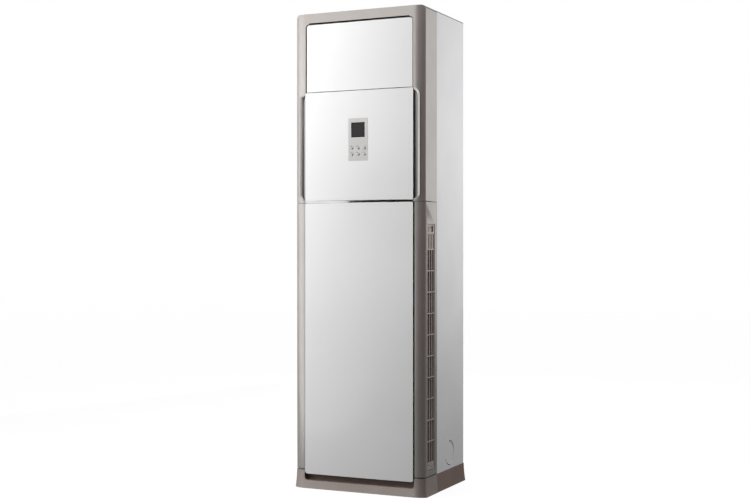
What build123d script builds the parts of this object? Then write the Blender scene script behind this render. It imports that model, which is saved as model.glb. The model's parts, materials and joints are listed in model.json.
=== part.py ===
from build123d import *
import math
import os

# Floor standing air conditioner, indoor cabinet.
# X runs to the right, Y to the back, Z up; the origin is on the floor under the middle of the base.

# ---- cabinet ----
body_width = 540.0
body_depth = 410.0
body_height = 1825.0
skirt_flare = 5.0  # how far the foot of the base stands out on every side
skirt_step = 1.0  # the base's sides step in behind the front mouldings
base_height = 70.0
sheet = 1.0  # painted steel sheet
shell = 2.5  # wall of the mouldings
seam = 0.3  # parting gap between neighbouring pieces
running_gap = 0.05  # round every pivot that turns in its hole
trim = 1.0  # how far cutting shapes run past the faces they cut
rear_bend = 10.0  # bend of the side boards into the back
flange = 20.0  # folded edges of the side boards
bead_width = 24.0  # pressed beads of the back
bead_depth = 2.5
bead_end = 150.0
lid_height = 3.7  # drop of the steel lid's rim
lid_step = 5.0  # the steel lid lies this much below the front cap

# ---- front mouldings ----
fascia_depth = 123.0  # from the front to the steel boards
pilaster_width = 44.0  # the pilasters curve back over this width
pilaster_setback = 14.0
top_corner = 14.0  # outer corner of the front, seen from ahead
fascia_lift = 3.0  # shadow gap between the base and the lower fascia
cap_drop = 10.7  # height of the top cap's edge
cap_edge = 2.0  # the cap's front edge stands behind the start of the pilasters

# ---- base ----
toe_bottom = 31.0
toe_depth = 22.0
toe_corner = 14.0  # lower corners of the recess under the service panel
rim_width = 14.0
rim_thickness = 3.0
pan_height = 21.5
pan_sheet = 1.5
floor_hole_radius = 5.5
floor_hole_inset_x = 70.0  # from the sides of the body
floor_hole_inset_y = 65.0
floor_hole_shift = 10.0  # centre of the hole pattern, behind the middle

# ---- heights of the front, from the top of the body down ----
door_drop = 42.5  # from the top of the body to the door
door_height = 260.5
door_gap_below = 2.0  # between the door and the display panel
display_height = 415.0
split_drop = 8.0  # from the display panel to the parting line of the fascias
shadow_gap = 1.5  # beside and under the panels' ends

# ---- white front panels ----
panel_crown = 3.5  # the bowed panels stand this far ahead of the fascia
panel_sag = 2.0
panel_skin = 2.6
panel_corner = 2.0  # corners of the panels' outlines, but for the rounder ones below
display_side_gap = 0.5
service_side_gap = 1.0  # the service panel laps the start of the pilasters
service_drop = 14.0  # the service panel hangs this far below the top of the base
service_corner = 11.0
service_room = 2.2  # round the service panel in its recess
service_recess_depth = 6.0
service_window_inset = 22.0
service_window_end = 45.0
service_window_corner = 15.0

# ---- recess behind the display panel ----
recess_reach = 21.0  # beside the display panel
recess_overlap = 3.0  # the display panel stands above the recess
recess_corner = 25.0
recess_depth = 10.5
recess_lip = 8.0  # the recess's sides slope in this far down to its floor
rebate_room = 0.8  # round the display panel's top corners
rebate_depth = 5.0
tray_inset = 4.0  # walls behind the display panel, in from its ends

# ---- outlet door and its drive ----
door_side_gap = 3.0  # the door is this much narrower than the display panel on each side
door_corner = 12.0
door_gap = 2.3
door_thickness = 5.0
door_skin = 2.5
door_clearance = 1.5  # behind the display panel
door_stop = 1.5  # the sinking door stops this far below the display panel's edge
door_lip = 6.0
pocket_room = 6.0  # below the racks, when the door is fully down
track_lean = 3.5  # the tracks lean back, so the sinking door clears the display housing
gear_module = 2.0
pinion_teeth = 12
pressure_angle = 20.0
tooth_tip = 0.9  # of the module
tooth_root = 1.2
backlash = 0.5
mesh_gap = 0.25
rack_inset = 22.5  # in from the door's edges
rack_width = 8.0
rack_tail = 32.0  # below the door
rack_end = 4.5  # from the door's top
rack_margin = 4.0  # plain ends of the racks
rack_top_setback = 20.5  # pitch line behind the front of the body, at the rack's top
pinion_drop = 22.0  # below the door
shaft_radius = 3.0
shaft_end = 8.0  # the part of the shaft that enters the motor
shoe_reach = 28.0
shoe_thickness = 6.0
shoe_length = 24.0
shoe_line_setback = 11.2  # guide line behind the front of the body, at guide_height
guide_drop = 22.5  # from the door's top to guide_height
upper_shoe_drop = 37.5
lower_shoe_lift = 38.0
rail_gap = 0.3
rail_wall = 2.0
rail_side_gap = 7.0  # from the door's edge to the rail
rail_drop = 14.5  # from the door's top
rail_end = 26.0  # below the lower shoe when the door is down
rail_foot = 20.0  # height of the rails' feet
rail_foot_lift = 12.0
can_radius = 14.0  # small geared motors
can_length = 19.0
can_ear = 1.0  # thickness of their ears
door_can_ear = 34.0

# ---- air outlet ----
frame_setback = 41.0  # behind the front of the body
frame_depth = 106.0
frame_wall = 4.0
frame_flange = 3.0
frame_foot = 6.0  # the flange hangs below the door
frame_head = 25.0  # the flange ends below the top of the body
outlet_side_gap = 4.0  # between the opening and the racks
outlet_lift = 14.0  # sill above the door's lower edge
outlet_drop = 10.5  # head below the door's upper edge
lug_half = 4.0  # bearings of the pinion shaft
lug_inset = 10.0
lug_room = 8.0
louvre_count = 5
louvre_gap = 2.9  # between the shut louvres
louvre_end_room = 4.0
louvre_thickness = 5.0
louvre_setback = 29.0  # behind the frame's flange
louvre_pin = 2.5
crank_radius = 14.0
crank_pin = 1.5
crank_lobe = 7.0
crank_sheet = 2.5
vane_count = 5
vane_end_room = 56.0
vane_chord = 46.0
vane_thickness = 3.0
vane_inset = 30.0  # ahead of the frame's rear edge
vane_pin = 2.0
vane_crank = 15.0
link_width = 7.0
link_thickness = 3.0
link_end = 5.0
link_corner = 3.0
pin_end_gap = 0.5  # pivots end this far inside the frame's outer face
drive_pin = 8.0  # the driven pivots run this far into their motors

# ---- control bezel ----
bezel_half = 40.5
bezel_drop = 105.0  # below the display panel's top
bezel_height = 161.0
bezel_proud = 0.3
bezel_thickness = 4.4
bezel_flange = 3.0
bezel_gap = 0.2
window_half = 28.0
window_drop = 16.0
window_glass = 1.4
button_drop = 40.0  # first row below the window
button_pitch_z = 24.0
button_pitch_x = 26.0
button_radius = 7.2
button_gap = 0.3
button_dome = 1.0
button_collar = 1.2
button_travel = 0.8
board_standoff = 2.8
board_sheet = 1.6
board_post = 2.5

# ---- side intakes ----
intake_front_inset = 95.0  # ahead of the steel boards
intake_back_inset = 18.0
intake_lift = 25.5  # above the base
intake_drop = 83.0  # below the parting line
intake_gap = 1.5
grille_inset = 2.0  # behind the side face
grille_thickness = 9.0
grille_rib = 5.0
grille_bar = 3.5  # cross bars
grille_edge = 6.0
grille_foot = 26.0  # closed strip round the hinge
grille_columns = 3
grille_bays = 10
handle_height = 34.0
handle_depth = 6.0
latch_width = 26.0  # latch tongue standing in the handle
latch_side_room = 7.0  # ahead of the tongue
latch_hole = 4.0
brace_depth = 1.5  # shallow pocket over the hinge, crossed by two ribs
brace_rib = 3.0
closed_bay = 60.0
closed_depth = 3.0
hinge_inset = 6.0
hinge_lift = 7.5
hinge_pin = 2.0
filter_thickness = 3.0
filter_rib = 5.0
filter_bays = 6
filter_mesh = 0.8
knockout_radius = 46.0
knockout_inset = 155.0  # ahead of the rear
knockout_lift = 62.0  # above the base
slit_width = 3.0
knockout_press = 1.2  # the knock-out's middle stands in from the board's face

# ---- fan ----
shelf_drop = 88.7  # from the parting line to the shelf above the fan
fan_drop = 368.0  # from the neck's top to the fan's axis
impeller_radius = 160.0
blade_depth = 30.0
impeller_front_gap = 12.0
impeller_back_gap = 14.0
blade_count = 32
blade_sheet = 1.8
blade_bulge = 3.0
blade_skew = 14.0
disc_sheet = 2.0
ring_width = 4.0
hub_radius = 20.0
hub_recess = 50.0
tongue_gap = 18.0  # round the impeller at the start of the scroll
scroll_side_room = 35.0
scroll_setback = 135.0
scroll_depth = 132.0
scroll_wall = 2.5
neck_rim = 14.0
bell_lead = 2.0  # the bellmouth's throat is this much wider than the blades' inner ring
bell_flare = 22.0
motor_radius = 62.0
motor_length = 84.0
motor_gap = 4.0
motor_flange = 14.0
motor_bend = 10.0
motor_bore = 41.0
bearing_radius = 20.0
bearing_length = 8.0
bracket_sheet = 2.0
bracket_reach = 32.0
bracket_corner = 18.0
fan_shaft_radius = 6.0
washer_radius = 15.0
washer_sheet = 2.5
nut_radius = 10.0

# ---- heat exchanger ----
coil_side_room = 55.0
coil_length = 500.0
coil_thickness = 57.0
coil_lean = 33.0
coil_setback = 77.0
coil_lift = 40.2  # foot of the coil above the drain pan's floor
fin_pitch = 12.0
fin_groove = 4.0
bend_pitch = 50.8
tube_radius = 4.8
suction_radius = 9.5
liquid_radius = 5.0
suction_inset = 80.0  # ahead of the rear
liquid_inset = 45.0
pipe_reach = 21.0  # outside the coil
pipe_bend = 16.0
pipe_room = 3.0
nut_height = 24.0
drain_wall = 2.5
drain_height = 35.0
drain_front_room = 25.0
drain_back_room = 18.0
drain_side_room = 20.0
spout_radius = 10.0
spout_length = 30.0
spout_inset = 35.0
partition_sheet = 1.2

# ---- controls ----
box_inset = 65.0  # in from the left side of the body
box_width = 265.0
box_lift = 165.0  # above the base
box_height = 160.0
box_room = 39.0  # ahead of the fan housing
box_depth = 56.0
box_sheet = 1.2
lid_turn = 12.0
notch_width = 40.0
notch_inset = 20.0
stand_sheet = 1.5
stand_inset = 25.0
stand_foot = 26.0
board_inset = 12.0
board_length = 140.0
relay_width = 19.0
relay_pitch = 27.0
relay_height = 15.0
transformer_length = 45.0
transformer_height = 35.0
capacitor_radius = 16.0
terminal_length = 50.0
terminal_depth = 20.0
terminal_height = 28.0
well_width = 7.5
well_wall = 2.0
well_count = 5

# ---- derived sizes and places ----
half_width = body_width / 2
front_y = -body_depth / 2
rear_y = body_depth / 2
board_front = front_y + fascia_depth
flat_half = half_width - pilaster_width
fascia_foot = base_height + fascia_lift
cap_front = front_y + pilaster_setback + cap_edge
floor_hole_x = body_width - 2 * floor_hole_inset_x
floor_hole_y = body_depth - 2 * floor_hole_inset_y

door_top = body_height - door_drop
door_bottom = door_top - door_height
display_top = door_bottom - door_gap_below
display_bottom = display_top - display_height
recess_top = display_top - recess_overlap
recess_bottom = display_bottom - shadow_gap
split_height = display_bottom - split_drop
service_top = split_height - shadow_gap
service_bottom = base_height - service_drop

display_half = flat_half - display_side_gap
service_half = flat_half + service_side_gap
service_recess_half = service_half + service_room
service_window_half = service_half - service_window_inset
recess_half = display_half + recess_reach
door_half = display_half - door_side_gap

pilaster_radius = (pilaster_width**2 + pilaster_setback**2) / (2 * pilaster_setback)
bow_radius = (display_half**2 + panel_sag**2) / (2 * panel_sag)
panel_front = front_y - panel_crown
door_front = panel_front + panel_skin + door_clearance

door_travel = door_height + door_stop
lean = math.radians(track_lean)
pitch_radius = gear_module * pinion_teeth / 2
rack_inner = door_half - rack_inset
rack_bottom = door_bottom - rack_tail
rack_top = door_top - rack_end
pinion_height = door_bottom - pinion_drop
guide_height = door_top - guide_drop
shoe_heights = (door_top - upper_shoe_drop, door_bottom + lower_shoe_lift)
rail_inner = door_half + rail_side_gap
rail_top = door_top - rail_drop
rail_bottom = shoe_heights[1] - door_travel - rail_end

frame_front = front_y + frame_setback
frame_back = frame_front + frame_depth
frame_bottom = door_bottom - frame_foot
frame_top = body_height - frame_head
outlet_half = rack_inner - outlet_side_gap
outlet_bottom = door_bottom + outlet_lift
outlet_top = door_top - outlet_drop
louvre_pitch = (outlet_top - outlet_bottom) / louvre_count
louvre_chord = louvre_pitch - louvre_gap
louvre_y = frame_front + louvre_setback
vane_pitch = 2 * (outlet_half - vane_end_room) / (vane_count - 1)
vane_y = frame_back - vane_inset

bezel_top = display_top - bezel_drop
bezel_bottom = bezel_top - bezel_height
bezel_front = panel_front - bezel_proud
bezel_back = bezel_front + bezel_thickness
board_face = bezel_back + board_standoff
window_top = bezel_top - window_drop
window_bottom = window_top - 2 * window_half
button_columns = (-button_pitch_x, 0.0, button_pitch_x)
button_rows = (window_bottom - button_drop, window_bottom - button_drop - button_pitch_z)

intake_front = board_front - intake_front_inset
intake_back = board_front - intake_back_inset
intake_bottom = base_height + intake_lift
intake_top = split_height - intake_drop
grille_outer = half_width - grille_inset
grille_inner = grille_outer - grille_thickness
hinge_x = half_width - hinge_inset
hinge_z = intake_bottom + hinge_lift
knockout_y = rear_y - knockout_inset
knockout_z = base_height + knockout_lift

partition_z = split_height - shelf_drop
neck_top = partition_z - seam
fan_height = neck_top - fan_drop
blade_inner = impeller_radius - blade_depth
scroll_front = front_y + scroll_setback
scroll_back = scroll_front + scroll_depth
scroll_start = impeller_radius + tongue_gap
scroll_right = half_width - scroll_side_room
scroll_growth = scroll_right - scroll_start
impeller_front = scroll_front + impeller_front_gap
impeller_back = scroll_back - impeller_back_gap
inlet_radius = blade_inner + bell_lead
motor_front = impeller_back + motor_gap

coil_half = half_width - coil_side_room
coil_foot_y = front_y + coil_setback
pan_floor = partition_z + partition_sheet + seam
pan_front = front_y + drain_front_room
pan_back = scroll_front - drain_back_room
coil_foot_z = pan_floor + coil_lift
pipe_x = coil_half + pipe_reach
suction_y = rear_y - suction_inset
liquid_y = rear_y - liquid_inset
drain_x = coil_half - spout_inset
drain_y = (pan_front + pan_back) / 2 - drain_side_room

box_left = box_inset - half_width
box_right = box_left + box_width
box_bottom = base_height + box_lift
box_top = box_bottom + box_height
box_back = scroll_front - box_room


def block(x0, x1, y0, y1, z0, z1):
    """Straight block between two corners."""
    size = Box(x1 - x0, y1 - y0, z1 - z0)
    return Pos((x0 + x1) / 2, (y0 + y1) / 2, (z0 + z1) / 2) * size


def rod_x(radius, x0, x1, y, z):
    """Round bar along X."""
    return Pos((x0 + x1) / 2, y, z) * Rot(0, 90, 0) * Cylinder(radius, abs(x1 - x0))


def rod_y(radius, y0, y1, x, z):
    """Round bar along Y."""
    return Pos(x, (y0 + y1) / 2, z) * Rot(90, 0, 0) * Cylinder(radius, y1 - y0)


def rod_z(radius, z0, z1, x, y):
    """Round bar along Z."""
    return Pos(x, y, (z0 + z1) / 2) * Cylinder(radius, z1 - z0)


def upright_slab(half, z0, z1, y0, y1, top_radius=0.0, bottom_radius=0.0):
    """Slab facing the front, with rounded corners at its top and its bottom."""
    slab = block(-half, half, y0, y1, z0, z1)
    if top_radius > 0:
        slab = fillet(slab.edges().filter_by(Axis.Y).group_by(Axis.Z)[-1], top_radius)
    if bottom_radius > 0:
        slab = fillet(slab.edges().filter_by(Axis.Y).group_by(Axis.Z)[0], bottom_radius)
    return slab


def bow_at(x):
    """How far a bowed front lies behind its crown, at a distance x from the middle."""
    return bow_radius - math.sqrt(bow_radius**2 - x**2)


def bowed_plate(half, crown, thickness, z0, z1):
    """Upright plate bent about a vertical axis, with its crown in the middle."""
    back = crown + bow_at(half)
    front_arc = ThreePointArc((-half, back), (0, crown), (half, back))
    right = Line((half, back), (half, back + thickness))
    rear_arc = ThreePointArc((half, back + thickness), (0, crown + thickness), (-half, back + thickness))
    left = Line((-half, back + thickness), (-half, back))
    return Pos(0, 0, z0) * extrude(make_face([front_arc, right, rear_arc, left]), z1 - z0)


def bowed_panel(half, crown, thickness, z0, z1, top_radius, bottom_radius):
    """Bowed plate cut out of a larger one, with rounded corners at its top and its bottom."""
    margin = 2 * thickness
    plate = bowed_plate(half + margin, crown, thickness, z0 - margin, z1 + margin)
    front = crown - margin
    rear = crown + bow_at(half + margin) + thickness + margin
    return plate & upright_slab(half, z0, z1, front, rear, top_radius, bottom_radius)


def front_outline(inset, rear):
    """Plan of the front moulding moved inwards: flat middle, curved pilasters, straight sides."""
    radius = pilaster_radius - inset
    side = half_width - inset
    centre = front_y + pilaster_radius
    reach = math.asin((side - flat_half) / radius)
    middle_x = flat_half + radius * math.sin(reach / 2)
    middle_y = centre - radius * math.cos(reach / 2)
    edge_y = centre - radius * math.cos(reach)
    front = front_y + inset
    edges = [
        Line((-side, rear), (-side, edge_y)),
        ThreePointArc((-side, edge_y), (-middle_x, middle_y), (-flat_half, front)),
        Line((-flat_half, front), (flat_half, front)),
        ThreePointArc((flat_half, front), (middle_x, middle_y), (side, edge_y)),
        Line((side, edge_y), (side, rear)),
        Line((side, rear), (-side, rear)),
    ]
    return make_face(edges)


def outline_prism(inset, rear, z0, z1):
    """The front moulding's plan, drawn up between two heights."""
    return Pos(0, 0, z0) * extrude(front_outline(inset, rear), z1 - z0)


def on_track(x, height, offset=0.0, line=shoe_line_setback, reference=guide_height):
    """Place on a leaning track: the point of the guide line at a height, turned to the track."""
    y = front_y + line + (reference - height) * math.tan(lean)
    return Pos(x, y, height) * Rot(track_lean, 0, 0) * Pos(0, offset, 0)


# ---- base and steel cabinet ----


def flared_block(inset):
    """The base's outer form: its walls flare to the floor in a hollow curve."""
    sections = []
    for share, flare in ((0.0, skirt_flare), (0.5, 0.3 * skirt_flare), (1.0, 0.0)):
        face = front_outline(inset - flare, rear_y + flare)
        sections.append(Pos(0, 0, share * base_height) * face)
    return loft(sections)


def base_skirt():
    """Moulded base, a step wider under the front mouldings, with the toe recess in its front."""
    reach = half_width + 2 * skirt_flare
    front_zone = block(-reach, reach, front_y - 2 * skirt_flare, board_front, -trim, base_height + trim)
    skirt = flared_block(skirt_step) + (flared_block(0) & front_zone)
    skirt -= outline_prism(shell, rear_y - shell, -trim, base_height - rim_thickness)
    skirt -= outline_prism(rim_width, rear_y - rim_width, -trim, base_height + trim)
    back = front_y + toe_depth
    skirt += upright_slab(
        service_recess_half + shell, toe_bottom - shell, base_height, front_y + shell, back + shell,
        bottom_radius=toe_corner + shell,
    )
    room = upright_slab(
        service_recess_half, toe_bottom, base_height + toe_depth, front_y - toe_depth, back,
        bottom_radius=toe_corner,
    )
    return skirt - room


def floor_holes():
    """Centres of the four bolt holes to the floor."""
    return [
        (sx * floor_hole_x / 2, floor_hole_shift + sy * floor_hole_y / 2) for sx in (-1, 1) for sy in (-1, 1)
    ]


def base_pan():
    """Folded steel pan inside the skirt, with its edges turned down to the floor."""
    side = half_width - shell - seam
    front = front_y + toe_depth + shell + seam
    rear = rear_y - shell - seam
    pan = block(-side, side, front, rear, 0, pan_height)
    pan -= block(-side + pan_sheet, side - pan_sheet, front + pan_sheet, rear - pan_sheet, -trim,
                 pan_height - pan_sheet)
    for x, y in floor_holes():
        pan -= rod_z(floor_hole_radius, -trim, pan_height + trim, x, y)
    return pan


def knockout_slits(side):
    """Two curved slits of the pipe outlet, with the metal left between them."""
    slits = []
    for start, sweep in ((20, 75), (205, 75)):
        arc = CenterArc((knockout_y, knockout_z), knockout_radius, start, sweep)
        face = Plane.YZ.offset(side * half_width) * SlotArc(arc, slit_width)
        slits.append(extrude(face, 3 * sheet, both=True))
    return slits


def knockout_disc(side, radius, depth, reach):
    """Round disc on the knock-out's middle, from a depth behind the board's face on by a reach."""
    start = side * (half_width - depth)
    end = start + side * reach
    return rod_x(radius, min(start, end), max(start, end), knockout_y, knockout_z)


def side_board(side):
    """Steel side board: folded in at the front, bent round into the back, flanged at both ends."""
    outer = side * half_width
    inner = side * (half_width - flange)
    front = board_front + seam
    z0 = base_height + seam
    z1 = body_height - lid_step - lid_height - seam
    lo = min(outer, inner)
    hi = max(outer, inner)
    board = block(lo, hi, front, rear_y, z0, z1)
    edge = board.edges().filter_by(Axis.Z).group_by(Axis.Y)[-1].sort_by(Axis.X)[-1 if side > 0 else 0]
    board = fillet(edge, rear_bend)
    cut_out = side * (half_width - sheet)
    cut_in = side * (half_width - flange - trim)
    room = block(min(cut_out, cut_in), max(cut_out, cut_in), front + sheet, rear_y - sheet,
                 z0 + sheet, z1 - sheet)
    edge = room.edges().filter_by(Axis.Z).group_by(Axis.Y)[-1].sort_by(Axis.X)[-1 if side > 0 else 0]
    room = fillet(edge, rear_bend - sheet)
    board -= room
    dish = knockout_radius - slit_width
    board += knockout_disc(side, dish, knockout_press + sheet, knockout_press + sheet / 2)
    board -= knockout_disc(side, dish - sheet, knockout_press, knockout_press + trim)
    for slit in knockout_slits(side):
        board -= slit
    return board


def rear_panel():
    """Steel back between the side boards' returns, with two pressed stiffening beads."""
    side = half_width - rear_bend
    back = rear_y - sheet - seam
    z0 = base_height + 2 * seam + sheet
    z1 = body_height - lid_step - lid_height - 2 * seam - sheet
    panel = block(-side, side, back - sheet, back, z0, z1)
    for x in (-side / 2, side / 2):
        half = bead_width / 2
        panel += block(x - half, x + half, back - sheet, back + bead_depth, z0 + bead_end, z1 - bead_end)
        half -= sheet
        panel -= block(x - half, x + half, back - sheet - trim, back + bead_depth - sheet,
                       z0 + bead_end + sheet, z1 - bead_end - sheet)
    return panel


def top_cover():
    """Steel lid over the boards, with its rim turned down and the rear corners rounded."""
    top = body_height - lid_step
    lid = block(-half_width, half_width, board_front + seam, rear_y, top - lid_height, top)
    lid = fillet(lid.edges().filter_by(Axis.Z).group_by(Axis.Y)[-1], rear_bend)
    room = block(-half_width + sheet, half_width - sheet, board_front + seam + sheet, rear_y - sheet,
                 top - lid_height - trim, top - sheet)
    room = fillet(room.edges().filter_by(Axis.Z).group_by(Axis.Y)[-1], rear_bend - sheet)
    return lid - room


def top_cap():
    """Moulded cap over the front zone; its ends follow the rounded corners of the front."""
    front = cap_front + seam
    cap = block(-half_width, half_width, front, board_front, body_height - cap_drop, body_height)
    cap &= upright_slab(half_width, 0, body_height, front - trim, board_front + trim, top_radius=top_corner)
    room = upright_slab(half_width - shell, 0, body_height - shell, front + shell, board_front - shell,
                        top_radius=top_corner - shell)
    return cap - room


# ---- front mouldings ----


def door_opening(extra, y0, y1, bottom):
    """Air outlet opening in the front, larger than the door by the gap and any extra."""
    half = door_half + door_gap + extra
    return upright_slab(half, bottom, door_top + door_gap + extra, y0, y1,
                        top_radius=door_corner + door_gap + extra)


def recess_slab(extra, y0, y1):
    """Rounded pocket in which the display panel floats."""
    return upright_slab(recess_half + extra, recess_bottom - extra, recess_top + extra, y0, y1,
                        recess_corner + extra, recess_corner + extra)


def pilaster_drop(x):
    """How far the front moulding's face lies behind its flat middle, at a distance x from the middle."""
    across = max(x - flat_half, 0)
    return pilaster_radius - math.sqrt(pilaster_radius**2 - across**2)


def recess_scoop():
    """Room cut for the display recess: straight at its ends, with sides that slope in to the floor."""
    lip = front_y + pilaster_drop(recess_half)
    middle = (recess_bottom + recess_top) / 2
    height = recess_top - recess_bottom
    faces = []
    for half, y in ((recess_half, lip), (recess_half - recess_lip, front_y + recess_depth)):
        outline = RectangleRounded(2 * half, height, recess_corner - (recess_half - half))
        faces.append(Plane((0, y, middle), x_dir=(1, 0, 0), z_dir=(0, -1, 0)) * outline)
    return recess_slab(0, front_y - trim, lip) + loft(faces)


def upper_fascia():
    """Upper front moulding: pilasters, outlet opening with its lip, display recess and side strips."""
    z0 = split_height + seam
    outline = outline_prism(0, board_front, z0, body_height)
    body = outline - outline_prism(shell, board_front + trim, z0 - trim, body_height - shell)
    body -= block(-half_width - trim, half_width + trim, cap_front, board_front + trim,
                  body_height - cap_drop - seam, body_height + trim)
    body += outline & recess_slab(shell, front_y, front_y + recess_depth + shell)
    body += door_opening(shell, front_y + trim, front_y + door_lip, display_top)
    body -= recess_scoop()
    rebate = panel_front + panel_sag + panel_skin + seam
    side = display_half + rebate_room
    body -= block(-side, side, front_y - trim, rebate, recess_top - rebate_depth, display_top + rebate_room)
    opening_bottom = rack_bottom - door_travel - pocket_room
    body -= door_opening(0, front_y - trim, front_y + recess_depth + shell + trim, opening_bottom)
    return body & upright_slab(half_width, 0, body_height, front_y - trim, board_front + trim,
                               top_radius=top_corner)


def intake_frame_x():
    """Inner end of the frames that surround the side intakes."""
    return half_width - grille_thickness - 3 * shell


def lower_fascia():
    """Lower front moulding: pilasters, recess and window for the service panel, side intakes."""
    z0 = fascia_foot
    z1 = split_height - seam
    outline = outline_prism(0, board_front, z0, z1)
    body = outline - outline_prism(shell, board_front + trim, z0 - trim, z1 + trim)
    floor = front_y + service_recess_depth
    body += outline & block(-service_recess_half - shell, service_recess_half + shell,
                            front_y, floor + shell, z0, z1)
    body -= block(-service_recess_half, service_recess_half, front_y - trim, floor, z0 - trim, z1 + trim)
    body -= upright_slab(service_window_half, z0 + service_window_end, z1 - service_window_end,
                         front_y - trim, floor + shell + trim, service_window_corner,
                         service_window_corner)
    for side in (-1, 1):
        x0 = side * intake_frame_x()
        x1 = side * (half_width + trim)
        lo = min(x0, x1)
        hi = max(x0, x1)
        frame = block(max(lo, -half_width), min(hi, half_width), intake_front - shell, intake_back + shell,
                      intake_bottom - shell, intake_top + shell)
        body += frame
        body -= block(lo - trim, hi, intake_front, intake_back, intake_bottom, intake_top)
        body -= rod_y(hinge_pin + running_gap, intake_front - shell - trim, intake_back + shell + trim,
                      side * hinge_x, hinge_z)
    return body


def service_panel():
    """Bowed lower front panel: a shallow tray over the lower fascia."""
    floor = front_y + service_recess_depth - seam
    depth = floor - panel_front - bow_at(service_half)
    plate = bowed_panel(service_half, panel_front, depth, service_bottom, service_top,
                        panel_corner, service_corner)
    hollow = bowed_plate(service_half - panel_skin, panel_front + panel_skin, depth,
                         service_bottom + panel_skin, service_top - panel_skin)
    return plate - hollow


def display_panel():
    """Bowed middle front panel, open at its top edge, where the door sinks behind it."""
    floor = front_y + recess_depth - seam
    z0 = display_bottom
    z1 = display_top
    skin = bowed_panel(display_half, panel_front, panel_skin, z0, z1, panel_corner, panel_corner)
    start = panel_front + bow_at(display_half) + seam
    for side in (-1, 1):
        outer = side * display_half
        inner = side * (display_half - shell)
        skin += block(min(outer, inner), max(outer, inner), start, floor, z0 + tray_inset,
                      recess_top - tray_inset)
    half = display_half - tray_inset
    skin += block(-half, half, panel_front + panel_skin - seam, floor, z0, z0 + shell)
    half = bezel_half + bezel_gap
    skin -= block(-half, half, panel_front - trim, floor + trim, bezel_bottom - bezel_gap,
                  bezel_top + bezel_gap)
    return skin


def outlet_door():
    """Bowed sliding door: a thin skin with a turned edge all round."""
    plate = bowed_panel(door_half, door_front, door_thickness, door_bottom, door_top,
                        door_corner, panel_corner)
    hollow = bowed_panel(door_half - door_skin, door_front + door_skin, door_thickness,
                         door_bottom + door_skin, door_top - door_skin,
                         door_corner - door_skin, panel_corner / 2)
    door = plate - hollow
    for side in (-1, 1):
        inner = side * (rack_inner - seam)
        outer = side * (rack_inner + rack_width + seam)
        door -= block(min(inner, outer), max(inner, outer), rack_front() - seam, door_front + toe_depth,
                      door_bottom - trim, door_bottom + door_skin + trim)
    return door


# ---- door drive ----


def pitch_line_y(height):
    """Y of the racks' pitch line at a height, with the door shut."""
    return front_y + rack_top_setback + (rack_top - height) * math.tan(lean)


def pinion_centre():
    """Y and Z of the pinion shaft, one pitch radius behind the pitch line."""
    away = pitch_radius + mesh_gap
    y = pitch_line_y(pinion_height) + away * math.cos(lean)
    z = pinion_height + away * math.sin(lean)
    return y, z


def rack_front():
    """Y of the racks' upright front edge, just behind the door's skin."""
    return door_front + door_skin + bow_at(rack_inner + rack_width) + seam


def rack_profile():
    """Side view of a rack: upright front edge behind the door, leaning teeth at the rear."""
    pitch = math.pi * gear_module
    front = rack_front()
    down = (math.sin(lean), -math.cos(lean))
    out = (math.cos(lean), math.sin(lean))
    origin = (pitch_line_y(pinion_height), pinion_height)

    def point(along, height):
        return (
            origin[0] + along * down[0] + height * out[0],
            origin[1] + along * down[1] + height * out[1],
        )

    first = math.ceil((pinion_height - rack_top + rack_margin) / pitch)
    last = math.floor((pinion_height - rack_bottom - rack_margin) / pitch)
    tip = tooth_tip * gear_module
    root = -tooth_root * gear_module
    slope = math.tan(math.radians(pressure_angle))
    half = pitch / 4 - backlash / 2
    points = [(front, rack_bottom), (front, rack_top)]
    points.append(point(pinion_height - rack_top, root))
    for number in range(first, last):
        middle = (number + 0.5) * pitch
        for along, height in (
            (middle - half + root * slope, root),
            (middle - half + tip * slope, tip),
            (middle + half - tip * slope, tip),
            (middle + half - root * slope, root),
        ):
            points.append(point(along, height))
    points.append(point(pinion_height - rack_bottom, root))
    return points


def door_rack(side):
    """Rack behind one edge of the door, with two guide shoes that reach out into the rail."""
    face = Plane.YZ * make_face(Polyline(*rack_profile(), close=True))
    x0 = side * rack_inner
    rack = Pos(x0, 0, 0) * extrude(face, rack_width * side)
    length = shoe_reach + rack_width / 2
    middle = side * (rack_inner + rack_width / 2 + length / 2)
    for height in shoe_heights:
        rack += on_track(middle, height) * Box(length, shoe_thickness, shoe_length)
    return rack


def pinion_face():
    """Involute gear outline, drawn round the shaft in the YZ plane with a tooth pointing ahead."""
    base = pitch_radius * math.cos(math.radians(pressure_angle))
    tip = pitch_radius + tooth_tip * gear_module
    root = pitch_radius - tooth_root * gear_module
    half_at_pitch = math.pi / (2 * pinion_teeth) - backlash / (4 * pitch_radius)

    def roll(radius):
        turn = math.sqrt(max((radius / base) ** 2 - 1, 0))
        return turn - math.atan(turn)

    points = []
    for number in range(pinion_teeth):
        middle = math.pi + number * 2 * math.pi / pinion_teeth
        flank = []
        for radius in (base, (base + tip) / 2, tip):
            half = half_at_pitch + roll(pitch_radius) - roll(radius)
            flank.append((radius, half))
        points.append((root, middle - flank[0][1]))
        for radius, half in flank:
            points.append((radius, middle - half))
        for radius, half in reversed(flank):
            points.append((radius, middle + half))
        points.append((root, middle + flank[0][1]))
    corners = [(radius * math.cos(angle), radius * math.sin(angle)) for radius, angle in points]
    return make_face(Polyline(*corners, close=True))


def pinion_shaft():
    """Cross shaft with a pinion at each rack; its right end enters the gear motor."""
    y, z = pinion_centre()
    reach = rack_inner + rack_width + trim
    shaft = rod_x(shaft_radius, -reach - trim, reach + shaft_end, y, z)
    gear = extrude(Plane.YZ * pinion_face(), rack_width)
    for start in (-rack_inner - rack_width, rack_inner):
        shaft += Pos(start, y, z) * Rot(track_lean, 0, 0) * gear
    return shaft


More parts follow.
